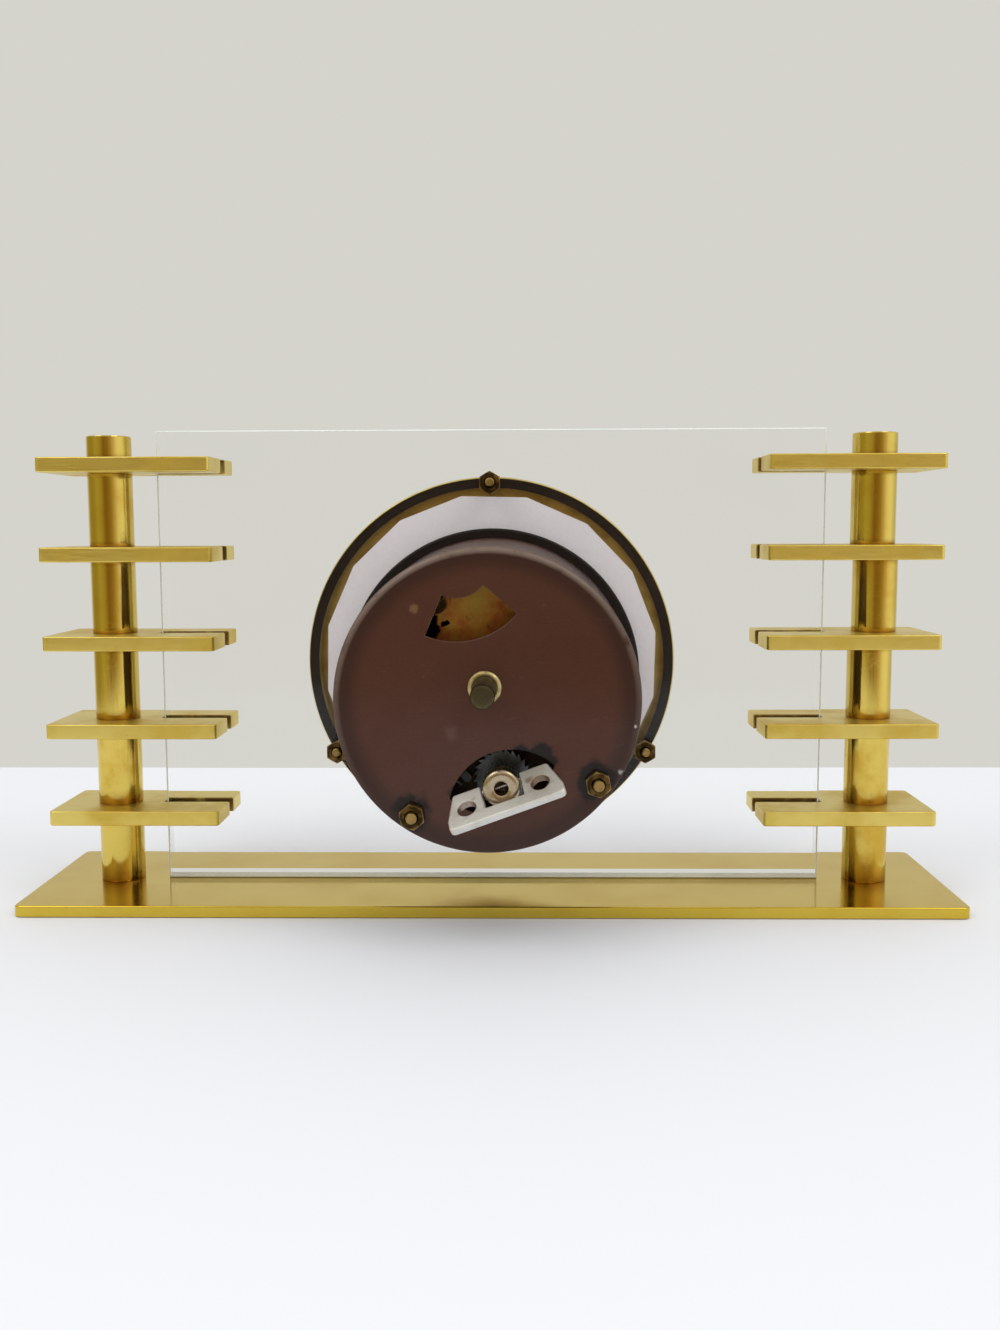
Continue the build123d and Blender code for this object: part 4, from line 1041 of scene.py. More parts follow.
HAND_BLACK = Coating(
    "hand_black", (0.012, 0.012, 0.013), (0.020, 0.019, 0.019), roughness=(0.28, 0.42), grain=(3.0, 0.008),
    speck_colour=(0.06, 0.06, 0.06), scratch_colour=(0.07, 0.07, 0.07), coat=0.3,
)
RIM_BLACK = Coating(
    "rim_black", (0.009, 0.006, 0.006), (0.018, 0.011, 0.009), roughness=(0.28, 0.44), grain=(1.6, 0.005),
    speck_colour=(0.10, 0.08, 0.07), scratch_colour=(0.08, 0.06, 0.05), coat=0.05, specular=0.18,
)
CAN_LACQUER = Coating(
    "can_lacquer", (0.070, 0.024, 0.0130), (0.057, 0.0175, 0.0085), roughness=(0.32, 0.46),
    clouds=(0.022, 0.30, 0.75), grain=(2.6, 0.012), specks=(0.16, 0.05, 0.16), speck_colour=(0.34, 0.25, 0.20),
    speck_strength=0.35, scratches=(0.35, (0.12, 1.0, 1.0), 0.0035), scratch_colour=(0.13, 0.07, 0.055), coat=0.3,
    # Edge colour: painted highlight on the bead's crest, and rubbed lacquer at the holes' rims.
    coat_roughness=0.12, specular=0.14, edge_colour=(0.22, 0.155, 0.118), edge_share=0.8,
    # Painted shade with some grime on the face near the bead and down the can's side.
    rim_centre=(*CAN_CENTRE, 0.0), rim_radii=(29.5, 33.8), rim_shade_share=0.6,
    marks=(
        # Painted highlight: lighter top of the can's side wall.
        Mark((5.5, 32.0, 26.0), 26.0, (0.12, 0.055, 0.035), 0.5, 1.0),
        Mark((-12.9, 21.1, CAN_REAR), 1.3, (0.18, 0.095, 0.04), 0.65, 0.9),
        Mark((-9.6, -9.4, CAN_REAR), 2.6, (0.12, 0.065, 0.05), 0.4),
        Mark((28.0, -25.3, CAN_REAR), 0.9, (0.62, 0.58, 0.52), 0.9, 0.3),
        Mark((33.2, -15.2, CAN_REAR), 0.6, (0.66, 0.62, 0.58), 0.9, 0.3),
        # Near-black patches round the two can nuts.
        Mark((-22.26, -26.3, CAN_REAR), 5.6, CAN_NUT_PATCH, 1.0, 1.1),
        Mark((22.26, -26.3, CAN_REAR), 5.4, CAN_NUT_PATCH, 1.0, 1.1),
        Mark((5.5, -17.4, CAN_REAR), 3.6, GREASE, 1.0, 1.1),
        Mark((10.2, -18.8, CAN_REAR), 4.0, GREASE, 1.0, 1.1),
        Mark((-11.2, -23.4, CAN_REAR), 2.4, (0.012, 0.006, 0.004), 0.8, 1.0),
        Mark((-2.0, 13.5, CAN_REAR), 2.2, (0.02, 0.010, 0.006), 0.4),
    ),
)


@dataclass
class Stand:
    """Base plate and the two columns of spacers, fins and caps."""

    workshop: Workshop
    length: float = 250.0
    depth: float = 57.0
    thickness: float = 3.0
    corner: float = 2.0
    edge: float = 0.4
    foot_edge: float = 0.15
    column_x: float = 104.5
    column_radius: float = 6.0
    spacer_bore: float = 3.6
    spacer_edge: float = 0.25
    spacer_facet: float = 0.07
    spacer_rings: int = 14
    foot_stains: tuple[float, ...] = (4.5, 4.0, 2.6, 1.6, 1.2)
    head_stain: float = 1.6
    head_share: float = 0.6
    fin_ends: Point = (73.6, 119.9)
    fin_half_depth: float = 14.3
    fin_thickness: float = 4.0
    fin_corner: float = 1.2
    fin_edge: float = 0.35
    fin_heights: tuple[float, ...] = (21.0, 44.8, 68.6, 92.4, 116.2)
    slot_end: float = 91.7
    slot_sides: Point = (-4.5, 1.5)
    slot_corner: float = 0.3
    slot_mouth: float = 0.4
    bolt_hole: float = 2.7
    sink: float = 2.0
    sink_depths: Point = (0.3, 2.3)
    slipped: int = 3
    slip: float = -0.9
    cap_top: float = 126.4
    cap_foot: tuple[Point, ...] = ((-0.2, 0.0), (0.0, 0.2), (0.0, 1.5))
    cap_crown: tuple[Point, ...] = ((0.0, -0.4), (-0.12, -0.12), (-0.4, 0.0), (-1.0, 0.0))
    cap_rings: tuple[Point, ...] = ((3.0, -0.03), (0.8, -0.05))
    cap_share: float = 0.7
    cap_stain: float = 1.5

    def build(self) -> None:
        """Makes the base and both columns."""
        self._base()
        for name, side in (("left", 1), ("right", -1)):
            self._spacers(name, side)
            self._cap(name, side)
            for index, height in enumerate(self.fin_heights):
                self._fin(f"{name}_fin_{index + 1}", side, height)

    def _bolt(self, x: float) -> list[Point]:
        """Outline of a bolt's hole."""
        return bored(self.bolt_hole, Round.BOLT, (x, 0.0))

    def _base(self) -> None:
        """Flat plate with rounded edges and countersunk bolt holes."""
        x, y = self.length / 2, self.depth / 2
        outline = rounded(block((-x, x), (-y, y)), self.corner, 6)
        upper = soft_levels(0.0, self.thickness, self.edge)[4:]
        start, end = self.sink_depths
        sunk = [(0.0, self.sink), (start, self.sink), (end, 0.0), (self.thickness, 0.0)]
        loops = [Loop(outline, [(0.0, self.foot_edge), (self.foot_edge, 0.0), *upper])]
        loops += [Loop(self._bolt(side * self.column_x), sunk) for side in (-1, 1)]
        self.workshop.piece(
            Shape().plate(*loops), "base_plate_polished", BASE_BRASS, Slot.POLISHED_BRASS, "base_plate"
        )

    def _spacers(self, name: str, side: int) -> None:
        """Makes five tubes with softened ends, tarnished where they meet the fins.

        Args:
            name: Which column.
            side: Sign of the column's x.
        """
        shape = Shape()
        outer, bore, soft, facet = self.column_radius, self.spacer_bore, self.spacer_edge, self.spacer_facet
        bottoms = [self.thickness, *(height + self.fin_thickness for height in self.fin_heights[:-1])]
        for index, (low, high, stain) in enumerate(zip(bottoms, self.fin_heights, self.foot_stains)):
            slip = self.slip if side < 0 and index == self.slipped else 0.0
            profile = [(bore, low), (outer - soft, low), (outer - facet, low + facet)]
            for step in range(self.spacer_rings + 1):
                profile.append((outer, low + soft + (high - low - 2 * soft) * step / self.spacer_rings))
            profile += [(outer - facet, high - facet), (outer - soft, high), (bore, high)]

            def tarnish(height: float) -> float:
                """Tarnish that fades away from the tube's two ends."""
                above = self.head_share * max(0.0, 1 - (high - height) / self.head_stain)
                return max(1 - (height - low) / stain, above)

            at = (side * self.column_x + slip, 0.0)
            shape.turned(profile, Round.COLUMN, at, hollow=True, edge=tarnish)
        self.workshop.piece(
            shape, f"{name}_column_tubes", COLUMN_BRASS, Slot.POLISHED_BRASS, f"{name}_spacers"
        )

    def _cap(self, name: str, side: int) -> None:
        """Makes a round cap with a softened top edge and faint turning rings.

        Args:
            name: Which column.
            side: Sign of the column's x.
        """
        low, high, outer = self.fin_heights[-1] + self.fin_thickness, self.cap_top, self.column_radius
        profile = beside((outer, low), self.cap_foot) + beside((outer, high), self.cap_crown)
        profile += beside((0.0, high), self.cap_rings)
        shape = Shape().turned(
            profile, Round.COLUMN, (side * self.column_x, 0.0),
            edge=lambda height: max(0.0, self.cap_share - (height - low) / self.cap_stain),
        )
        self.workshop.piece(shape, f"{name}_cap_turned", COLUMN_BRASS, Slot.POLISHED_BRASS, f"{name}_cap")

    def _fin(self, name: str, side: int, height: float) -> None:
        """Makes a flat fin with a slot for the pane's edge, its edges broken by hand.

        Args:
            name: The node that it stands for.
            side: Sign of the column's x.
            height: Height of its underside.
        """
        inner = self.fin_ends[0]
        low, high = self.slot_sides
        y = self.fin_half_depth
        outline = rounded(block(self.fin_ends, (-y, y)), self.fin_corner, 4)
        corners = [(inner, high), (self.slot_end, high), (self.slot_end, low), (inner, low)]
        mouth = inner + self.slot_mouth
        bed = rounded(corners, self.slot_corner, 2)[3:-3]
        slot = [corners[0], (mouth, high), *bed, (mouth, low), corners[3]]
        # Painted shade on the walls of the pane's slot.
        shaded = [0.0] * (len(outline) + 1) + [1.0] * (len(slot) - 2) + [0.0]
        levels = soft_levels(height, height + self.fin_thickness, self.fin_edge)
        shape = Shape().plate(
            Loop(outline + slot, levels, shaded), Loop(self._bolt(self.column_x), straight(levels))
        )
        if side < 0:
            bmesh.ops.scale(shape.mesh, vec=(-1, 1, 1), verts=shape.mesh.verts)
        self.workshop.piece(shape, f"{name}_brushed", FIN_BRASS, Slot.POLISHED_BRASS, name)


@dataclass(frozen=True)
class Hand:
    """One hand: its node, its sizes, its angle from upright, the depth of its front and its body."""

    node: str
    length: float
    width: float
    pipe: float
    turn: float
    front: float
    body: Body


@dataclass
class ClockHead:
    """Pane, bezel, its nuts, the dial's print and the hands."""

    workshop: Workshop
    pane_half: float = 91.3
    pane_heights: Point = (3.05, 127.8)
    pane_depths: Point = (-3.97, 0.97)
    pane_chamfer: float = 0.25
    pane_bore: float = 5.0
    stud_bore: float = 1.7
    foot_bore: float = 1.6
    rim_sides: float = 0.45
    rim_top: float = 0.3
    rim_foot: float = 1.5
    gap: float = 0.03
    bezel_front: float = -12.0
    bezel_rear: float = -4.6
    black_band: tuple[Point, Point] = ((48.2, 50.8), (-4.58, -4.02))
    bezel_radius: float = 51.2
    bezel_bore: float = 49.3
    bezel_edge: tuple[Point, ...] = ((0.0, -0.5), (-0.14, -0.16), (-0.45, 0.0))
    bezel_worn: Point = (0.6, 0.1)
    lip_radius: float = 45.0
    lip: float = 1.17
    lip_edge: float = 0.2
    lip_slant: float = 1.0
    stud_circle: float = 49.4
    stud_radius: float = 1.3
    stud_front: float = -9.2
    nut_depths: Point = (1.0, 3.4)
    stud_end: float = 4.8
    dial_front: float = -4.8
    ink: float = 0.04
    numeral_circle: float = 34.5
    numeral_height: float = 8.4
    track: Point = (40.6, 43.4)
    minute_half: float = 0.2
    hour_half: float = 0.55
    hour_longer: float = 0.9
    hand_thickness: float = 0.5
    hand_tail: float = 7.0
    hand_taper: float = 0.175
    hand_root: float = 1.0
    blade_drop: float = 0.05
    blade_edge: float = 0.1
    boss: float = 1.6
    boss_edge: float = 0.12
    pipe_grip: float = 0.1
    hands: tuple[Hand, ...] = (
        Hand("hour_hand", 26.0, 4.0, 2.5, -55.0, -6.0, Body.HOUR_WORK),
        Hand("minute_hand", 38.0, 3.0, 1.7, 60.0, -7.2, Body.SETTING),
    )

    def build(self) -> None:
        """Makes the bezel, nuts, print and hands, and dresses glass and dial."""
        self._pane()
        self._bezel()
        self._print()
        for hand in self.hands:
            self._hand(hand)
        self.workshop.dress(CLEAR_GLASS, "dial_glass")
        self.workshop.dress(DIAL_ENAMEL, "dial")

    def _studs(self) -> list[Point]:
        """Places of the bezel's three studs."""
        return [polar(self.stud_circle, 90 + 120 * index) for index in range(3)]

    def _pane(self) -> None:
        """Drilled pane and the pale ground rim round it."""
        low, high = (height - AXIS_HEIGHT for height in self.pane_heights)
        front, rear = self.pane_depths
        x, cut = self.pane_half, self.pane_chamfer
        side = x - self.rim_sides
        inner = block((-side, side), (low + self.rim_foot, high - self.rim_top))
        flat = [(front, 0.0), (rear, 0.0)]
        levels = [(front, cut), (front + cut, 0.0), (rear - cut, 0.0), (rear, cut)]
        rim = Shape().plate(Loop(block((-x, x), (low, high)), levels), Loop(inner[::-1], straight(levels)))
        bores = [(self.pane_bore, MIDDLE)] + [(self.stud_bore, place) for place in self._studs()]
        bores += [(self.foot_bore, polar(FOOT_CIRCLE, MOVEMENT_TURN + angle)) for angle in DIAL_FEET]
        holes = [Loop(bored(radius, Round.BOLT, place), flat) for radius, place in bores]
        pane = Shape().plate(Loop(inset(inner, self.gap), flat), *holes)
        self.workshop.piece(
            pane, "glass_pane_clear", CLEAR_GLASS, Slot.CLEAR_GLASS, "glass_pane", place=HEAD
        )
        self.workshop.piece(rim, "glass_pane_rim", GROUND_GLASS, Slot.CLEAR_GLASS, place=HEAD)

    def _bezel(self) -> None:
        """Deep ring with an inner lip and threaded studs, a thin black ring inside it, and the nuts behind the pane.
        """
        front, rear = self.bezel_front, self.bezel_rear
        outer, bore, lip, bed = self.bezel_radius, self.bezel_bore, self.lip_radius, self.bezel_front + self.lip
        slant = (lip + self.lip_slant, front + self.lip_slant)
        profile = softened(slant, (lip, front), (outer, front), self.lip_edge, 3)
        profile += softened((lip, front), (outer, front), (outer, rear), self.lip, 6)
        profile += beside((outer, rear), self.bezel_edge)
        profile += [(bore, rear), (bore, bed), (lip, bed)]
        start, end = (rear - back for back in self.bezel_worn)
        ring = Shape().turned(profile, Round.CASE, hollow=True, edge=lambda depth: float(start < depth < end))
        self.workshop.piece(ring, "bezel_ring", BEZEL_BRASS, Slot.BEZEL_BRASS, "bezel", place=HEAD)
        # Thin black ring on the pane's front inside the bezel, which gives the black band round the bezel's rear.
        black_band = Shape().turned(block(*self.black_band), Round.RING, hollow=True)
        self.workshop.piece(black_band, "bezel_black_band", RIM_BLACK, Slot.BEZEL_BRASS, place=HEAD)
        studs, nuts = Shape(), Shape()
        for place in self._studs():
            studs.threaded(self.stud_radius, self.stud_front, self.stud_end, place)
            nuts.hexagon_nut(self.stud_radius, *self.nut_depths, place)
        self.workshop.piece(studs, "bezel_studs", NUT_BRASS, Slot.BEZEL_BRASS, place=HEAD)
        self.workshop.piece(nuts, "bezel_hexagon_nuts", NUT_BRASS, Slot.BEZEL_BRASS, "bezel_nuts", place=HEAD)

    def _print(self) -> None:
        """Twelve numerals and a minute track printed on the dial's front."""
        shape = Shape()
        low, high = -self.dial_front, -self.dial_front + self.ink
        start, end = self.track
        for minute in range(60):
            hour = minute % 5 == 0
            half, inner = (self.hour_half, start - self.hour_longer) if hour else (self.minute_half, start)
            bar = spun(block((-half, half), (inner, end)), -6 * minute)
            shape.plate(Loop(bar, [(low, 0.0), (high, 0.0)]))
        for hour in range(1, 13):
            self._numeral(shape, hour, low)
        self.workshop.piece(shape, "dial_print", HAND_BLACK, Slot.HAND_BLACK, place=FRONTWARD)

    def _numeral(self, shape: Shape, hour: int, low: float) -> None:
        """Adds one upright numeral to the print.

        Args:
            shape: The print's mesh.
            hour: The number.
            low: Depth of the dial's face.
        """
        curve = bpy.data.curves.new("numeral", "FONT")
        curve.body = str(hour)
        curve.size = self.numeral_height
        curve.align_x = curve.align_y = "CENTER"
        curve.extrude = self.ink / 2
        carrier = bpy.data.objects.new("numeral", curve)
        mesh = bpy.data.meshes.new_from_object(carrier)
        x, y = polar(self.numeral_circle, 90 - 30 * hour)
        mesh.transform(Matrix.Translation((x, y, low + self.ink / 2)))
        shape.mesh.from_mesh(mesh)
        bpy.data.meshes.remove(mesh)
        bpy.data.objects.remove(carrier)
        bpy.data.curves.remove(curve)

    def _hand(self, hand: Hand) -> None:
        """Makes a tapered hand with a raised boss.

        Args:
            hand: Its sizes and its body.
        """
        half, tip, tail = hand.width / 2, hand.width * self.hand_taper, self.hand_tail
        front, rear = hand.front, hand.front + self.hand_thickness
        start = hand.pipe + self.hand_root
        near, far = (half - (half - tip) * start / reach for reach in (hand.length, tail))
        levels = soft_levels(front + self.blade_drop, rear, self.blade_edge, 2)
        soft = soft_levels(front, rear, self.boss_edge, 2)
        boss = circle(hand.pipe + self.boss, Round.KNOB)
        pipe = bored(hand.pipe - self.pipe_grip, Round.PIPE)
        shape = Shape()
        shape.plate(Loop([(near, start), (tip, hand.length), (-tip, hand.length), (-near, start)], levels))
        shape.plate(Loop([(tip, -tail), (-tip, -tail), (-far, -start), (far, -start)], levels))
        shape.plate(Loop(boss, soft), Loop(pipe, straight(soft)))
        self.workshop.piece(
            shape, f"{hand.node}_blade", HAND_BLACK, Slot.HAND_BLACK, hand.node,
            place=HEAD @ turned_by(hand.turn, "Z"), body=hand.body,
        )


@dataclass
class MovementCase:
    """Mounting ring, lacquered can, eyelet, studs with nuts, and the setting knob."""

    workshop: Workshop
    ring_radius: float = 40.4
    ring_hole: float = 23.0
    ring_depths: Point = (1.0, 3.0)
    ring_edge: float = 0.7
    foot_hole: float = 1.25
    front_radius: float = 37.8
    rear_radius: float = 35.2
    wall: float = 0.8
    bead: float = 1.1
    bead_neck: float = 1.15
    floor_radius: float = 34.5
    bead_angles: range = range(90, -61, -15)
    can_neck: tuple[Point, ...] = ((0.12, 0.0), (0.2, -1.2))
    can_shares: tuple[float, ...] = (0.15, 0.35, 0.6, 0.85)
    can_mouth: tuple[Point, ...] = ((0.0, 0.3), (-0.15, 0.0))
    inner_fillet: Point = (0.5, 1.5)
    # Painted highlight on the bead's crest: a share all round, and an extra share towards the top.
    crest_highlight: Point = (0.35, 0.65)
    hole_collar: float = 0.25
    hole_edge: float = 0.14
    hole_wear: float = 0.2
    window_centre: Point = (-1.4, 30.2)
    window_radii: Point = (8.5, 18.7)
    window_angles: Point = (237.4, 309.4)
    opening_centre: Point = (0.0, -22.9)
    opening: Point = (26.0, 15.0)
    opening_turn: float = 8.0
    eyelet_radii: Point = (4.0, 2.4)
    eyelet_side: tuple[Point, ...] = ((0.0, 0.0), (0.0, 0.3))
    eyelet_rim: tuple[Point, ...] = ((-0.3, -0.12), (-0.75, 0.0))
    eyelet_throat: tuple[Point, ...] = ((0.5, -0.04), (0.12, -0.3))
    eyelet_bore: float = 0.1
    eyelet_play: float = 0.02
    neck_radius: float = 2.8
    stud_circle: float = 32.4
    stud_half_angle: float = 43.4
    stud_radius: float = 1.4
    stud_play: float = 0.4
    stud_end: float = 59.8
    nut_top: float = 58.4
    knob_radius: float = 2.8
    knob_depths: Point = (57.1, 73.1)
    knob_centres: Point = (1.5, 0.4)
    knob_foot: tuple[Point, ...] = ((-0.5, 0.0), (-0.35, 0.3), (-0.35, 1.4), (0.0, 1.8), (0.0, 6.0))
    knob_dome: tuple[Point, ...] = ((0.0, -0.6), (-0.2, -0.22), (-0.6, -0.04), (-1.2, 0.0))
    knob_worn: float = 0.25

    def build(self) -> None:
        """Makes the case's pieces from the ring to the knob."""
        self._ring()
        self._can()
        self._eyelet()
        self._studs()
        self._knob()

    def _places(self) -> list[Point]:
        """Places of the two studs that hold the can."""
        return [polar(self.stud_circle, 270 + side * self.stud_half_angle, CAN_CENTRE) for side in (-1, 1)]

    def _ring(self) -> None:
        """Black ring with a rolled rim."""
        levels = soft_levels(*self.ring_depths, self.ring_edge, 4)
        holes = [bored(self.ring_hole, Round.COLUMN, CAN_CENTRE)]
        holes += [bored(self.foot_hole, Round.FOOT, polar(FOOT_CIRCLE, angle)) for angle in DIAL_FEET]
        loops = [Loop(circle(self.ring_radius, Round.RING, CAN_CENTRE), levels)]
        shape = Shape().plate(*loops, *(Loop(hole, straight(levels)) for hole in holes))
        self.workshop.piece(
            shape, "mounting_rim", RIM_BLACK, Slot.RIM_BLACK, "mounting_ring", place=MOVEMENT
        )

    def _can(self) -> None:
        """Tapered cup with a rolled bead painted lighter on its crest as a highlight, a regulator window and a
        winding opening.
        """
        steps, low, floor = Round.CASE, self.ring_depths[1], CAN_REAR - self.wall
        front, rear, bead_at = self.front_radius, self.rear_radius, CAN_REAR - self.bead
        profile = []
        for angle in self.bead_angles:
            turn = math.radians(angle)
            middle = self.floor_radius if angle > 0 else rear
            reach = rear + self.bead - middle
            spot = (middle + reach * math.cos(turn), bead_at + self.bead * math.sin(turn))
            # Painted highlight along the bead's crest, strongest halfway round its curve.
            profile.append((*spot, max(0.0, math.sin(2 * turn))))
        neck = bead_at - self.bead * self.bead_neck
        slope = (front - rear) / (neck - low)
        body = beside((rear, neck), self.can_neck)
        for share in self.can_shares:
            depth = neck - share * (neck - low)
            body.append((rear + slope * (neck - depth), depth))
        across, down = self.inner_fillet
        body += [*beside((front, low), self.can_mouth), (front - self.wall, low)]
        body += [(rear - self.bead, floor - down), (self.floor_radius - across, floor)]
        profile += [(radius, depth, 0.0) for radius, depth in body]
        # Painted highlight: the bead's crest is lighter towards the can's top, where light falls.
        sides, top = self.crest_highlight
        upper = [max(0.0, sides + top * math.sin(math.tau * step / steps)) for step in range(steps)]
        shape = Shape()
        rings = []
        for radius, depth, crest_light in profile:
            points = circle(radius, steps, CAN_CENTRE)
            rings.append(shape.level(points, depth, [crest_light * share for share in upper]))
        shape.loft(rings)
        tops, bottoms = [rings[0]], [rings[-1]]
        for points in self._holes():
            stack = [
                shape.level(inset(points, self.hole_collar), CAN_REAR),
                shape.level(inset(points, self.hole_edge), CAN_REAR, self.hole_wear),
                shape.level(points, CAN_REAR - self.hole_edge, self.hole_wear),
                shape.level(points, floor),
            ]
            shape.loft(stack)
            tops.append(stack[0])
            bottoms.append(stack[-1])
        shape.fill(tops)
        shape.fill(bottoms)
        self.workshop.piece(
            shape, "movement_can_shell", CAN_LACQUER, Slot.CAN_BROWN, "movement_can", place=MOVEMENT
        )

    def _holes(self) -> list[list[Point]]:
        """Finds the openings in the can's floor.

        Returns:
            Their outlines, clockwise.
        """
        first, last = self.window_angles
        inner, outer = self.window_radii
        window = arc(outer, first, last, 28, self.window_centre) + arc(inner, last, first, 16, self.window_centre)
        length, height = self.opening
        radius = (length ** 2 + height ** 2) / (4 * height)
        half = math.degrees(math.asin(length / 2 / radius))
        drop = radius - height / 2
        lens = arc(radius, 90 - half, 90 + half, 24, (0.0, -drop))[:-1]
        lens += arc(radius, 270 - half, 270 + half, 24, (0.0, drop))[:-1]
        holes = [window, spun(lens, self.opening_turn, self.opening_centre), circle(self.neck_radius, Round.HOLE)]
        holes += [circle(self.stud_radius + self.stud_play, Round.BOLT, place) for place in self._places()]
        return [hole[::-1] for hole in holes]

    def _eyelet(self) -> None:
        """Rolled brass grommet round the setting knob."""
        outer, bore = self.eyelet_radii
        top, flange, foot = CAN_REAR, CAN_REAR + self.wall, CAN_REAR - self.wall
        neck = self.neck_radius - self.eyelet_play
        profile = beside((outer, top), self.eyelet_side) + beside((outer, flange), self.eyelet_rim)
        profile += beside((bore, flange), self.eyelet_throat)
        profile += [(bore, top + self.eyelet_bore), (bore, foot), (neck, foot), (neck, top)]
        self.workshop.piece(
            Shape().turned(profile, Round.HUB, hollow=True), "eyelet_rolled", EYELET_BRASS, Slot.BEZEL_BRASS,
            "setting_eyelet", place=MOVEMENT,
        )

    def _studs(self) -> None:
        """Threaded studs and the hexagon nuts on them."""
        rods, nuts = Shape(), Shape()
        for place in self._places():
            rods.threaded(self.stud_radius, self.ring_depths[1], self.stud_end, place)
            nuts.hexagon_nut(self.stud_radius, CAN_REAR, self.nut_top, place)
        self.workshop.piece(
            rods, "can_studs_threaded", NUT_BRASS, Slot.BRIGHT_STEEL, "can_studs", place=MOVEMENT
        )
        self.workshop.piece(
            nuts, "can_hexagon_nuts", NUT_BRASS, Slot.BEZEL_BRASS, "can_nuts", place=MOVEMENT
        )

    def _knob(self) -> None:
        """Setting knob with a groove near the case and a softly domed end."""
        (low, high), radius = self.knob_depths, self.knob_radius
        first, last = self.knob_centres
        profile = [(first, low), *beside((radius, low), self.knob_foot)]
        profile += [*beside((radius, high), self.knob_dome), (last, high)]
        shape = Shape().turned(profile, Round.KNOB, edge=lambda depth: float(depth > high - self.knob_worn))
        self.workshop.piece(
            shape, "setting_knob_turned", KNOB_STEEL, Slot.KNOB_STEEL, "setting_knob", place=MOVEMENT,
            body=Body.SETTING,
        )


@dataclass
class WindingKey:
    """Hub on the winding arbor and the wing that folds about its pin."""

    workshop: Workshop
    drop: float = 22.9
    front: float = 57.0
    turn: float = 20.0
    hub_radius: float = 4.4
    hub_length: float = 6.0
    bore_radius: float = 1.5
    bore_depths: Point = (0.7, 2.5)
    hub_foot: tuple[Point, ...] = ((-0.3, 0.0), (0.0, 0.3), (0.0, 2.0))
    hub_crown: tuple[Point, ...] = ((0.0, -0.9), (-0.16, -0.4), (-0.6, -0.1), (-1.1, 0.0))
    hub_dish: tuple[Point, ...] = ((0.6, -0.05), (0.2, -0.25))
    hinge: float = 3.0
    droop: float = -57.0
    half_widths: Point = (11.7, 14.0)
    flare_end: float = -6.2
    top: float = 1.5
    bottom: float = -9.3
    corners: Triple = (3.0, 0.9, 0.5)
    notch: Point = (4.75, -5.8)
    hole: float = 2.15
    hole_place: Point = (8.95, -4.1)
    thickness: float = 2.0
    edges: Point = (0.4, 0.25)

    def build(self) -> None:
        """Makes the hub and the wing, and dresses the pin."""
        key = HEAD @ shifted(*polar(self.drop, 270 + MOVEMENT_TURN), self.front) @ turned_by(self.turn, "Z")
        self._hub(key)
        self._wing(key @ shifted(0, 0, self.hinge) @ turned_by(self.droop, "X"))
        self.workshop.dress(BRIGHT_STEEL, "key_pin")

    def _hub(self, place: Matrix) -> None:
        """Makes the turned hub with a dished end and a bore painted as shade.

        Args:
            place: Its place in the model's frame.
        """
        radius, high, bore = self.hub_radius, self.hub_length, self.bore_radius
        # Depths of the bore's rings that carry the painted shade.
        shaded = [high - depth for depth in self.bore_depths]
        profile = beside((radius, 0.0), self.hub_foot) + beside((radius, high), self.hub_crown)
        profile += beside((bore, high), self.hub_dish) + [(bore, depth) for depth in shaded]
        shape = Shape().turned(profile, Round.HUB, edge=lambda depth: float(depth in shaded))
        self.workshop.piece(
            shape, "key_hub_turned", HUB_NICKEL, Slot.HUB_NICKEL, "key_hub", place=place, body=Body.WINDING
        )

    def _wing(self, place: Matrix) -> None:
        """Makes the flat wing with a notch for the hub and two finger holes.

        Args:
            place: Its place in the model's frame.
        """
        top_half, half = self.half_widths
        notch, bed = self.notch
        foot, shoulder, inner = self.corners
        right = [(half, self.bottom), (half, self.flare_end), (top_half, self.top), (notch, self.top), (notch, bed)]
        left = [(-x, y) for x, y in right[::-1]]
        radii = [shoulder, foot, foot, shoulder, shoulder, inner, inner, inner, inner, shoulder]
        outline = rounded(left[-2:] + right + left[:-2], radii, 6)
        levels, rim = (soft_levels(-self.thickness / 2, self.thickness / 2, edge, 4) for edge in self.edges)
        x, y = self.hole_place
        holes = [Loop(bored(self.hole, Round.HOLE, (side * x, y)), rim, edge=1.0) for side in (-1, 1)]
        self.workshop.piece(
            Shape().plate(Loop(outline, levels), *holes), "key_wing_satin", WING_ALUMINIUM, Slot.WING_ALUMINIUM,
            "key_wing", place=place, body=Body.WING,
        )


@dataclass
class Movement:
    """Plates, train and springs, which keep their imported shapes."""

    workshop: Workshop
    dressed: tuple[tuple[Finish, tuple[str, ...]], ...] = (
        (MOVEMENT_BRASS, (
            "front_plate", "back_plate", "pillars", "front_posts", "barrel", "barrel_cover", "second_wheel",
            "centre_wheel", "third_wheel", "fourth_wheel", "escape_wheel", "balance_wheel", "cannon_pinion",
            "minute_wheel", "hour_wheel", "regulator", "pallet_lever",
        )),
        (BRIGHT_STEEL, ("column_bolts", "mainspring", "balance_staff", "hairspring", "centre_arbor")),
        # Parts behind the winding opening, toned down as painted shade.
        (SHADED_STEEL, ("winding_arbor", "ratchet_wheel", "click", "click_spring")),
        (NUT_BRASS, ("dial_nuts", "pivot_screw")),
    )

    def build(self) -> None:
        """Dresses the movement's nodes."""
        for finish, nodes in self.dressed:
            self.workshop.dress(finish, *nodes)


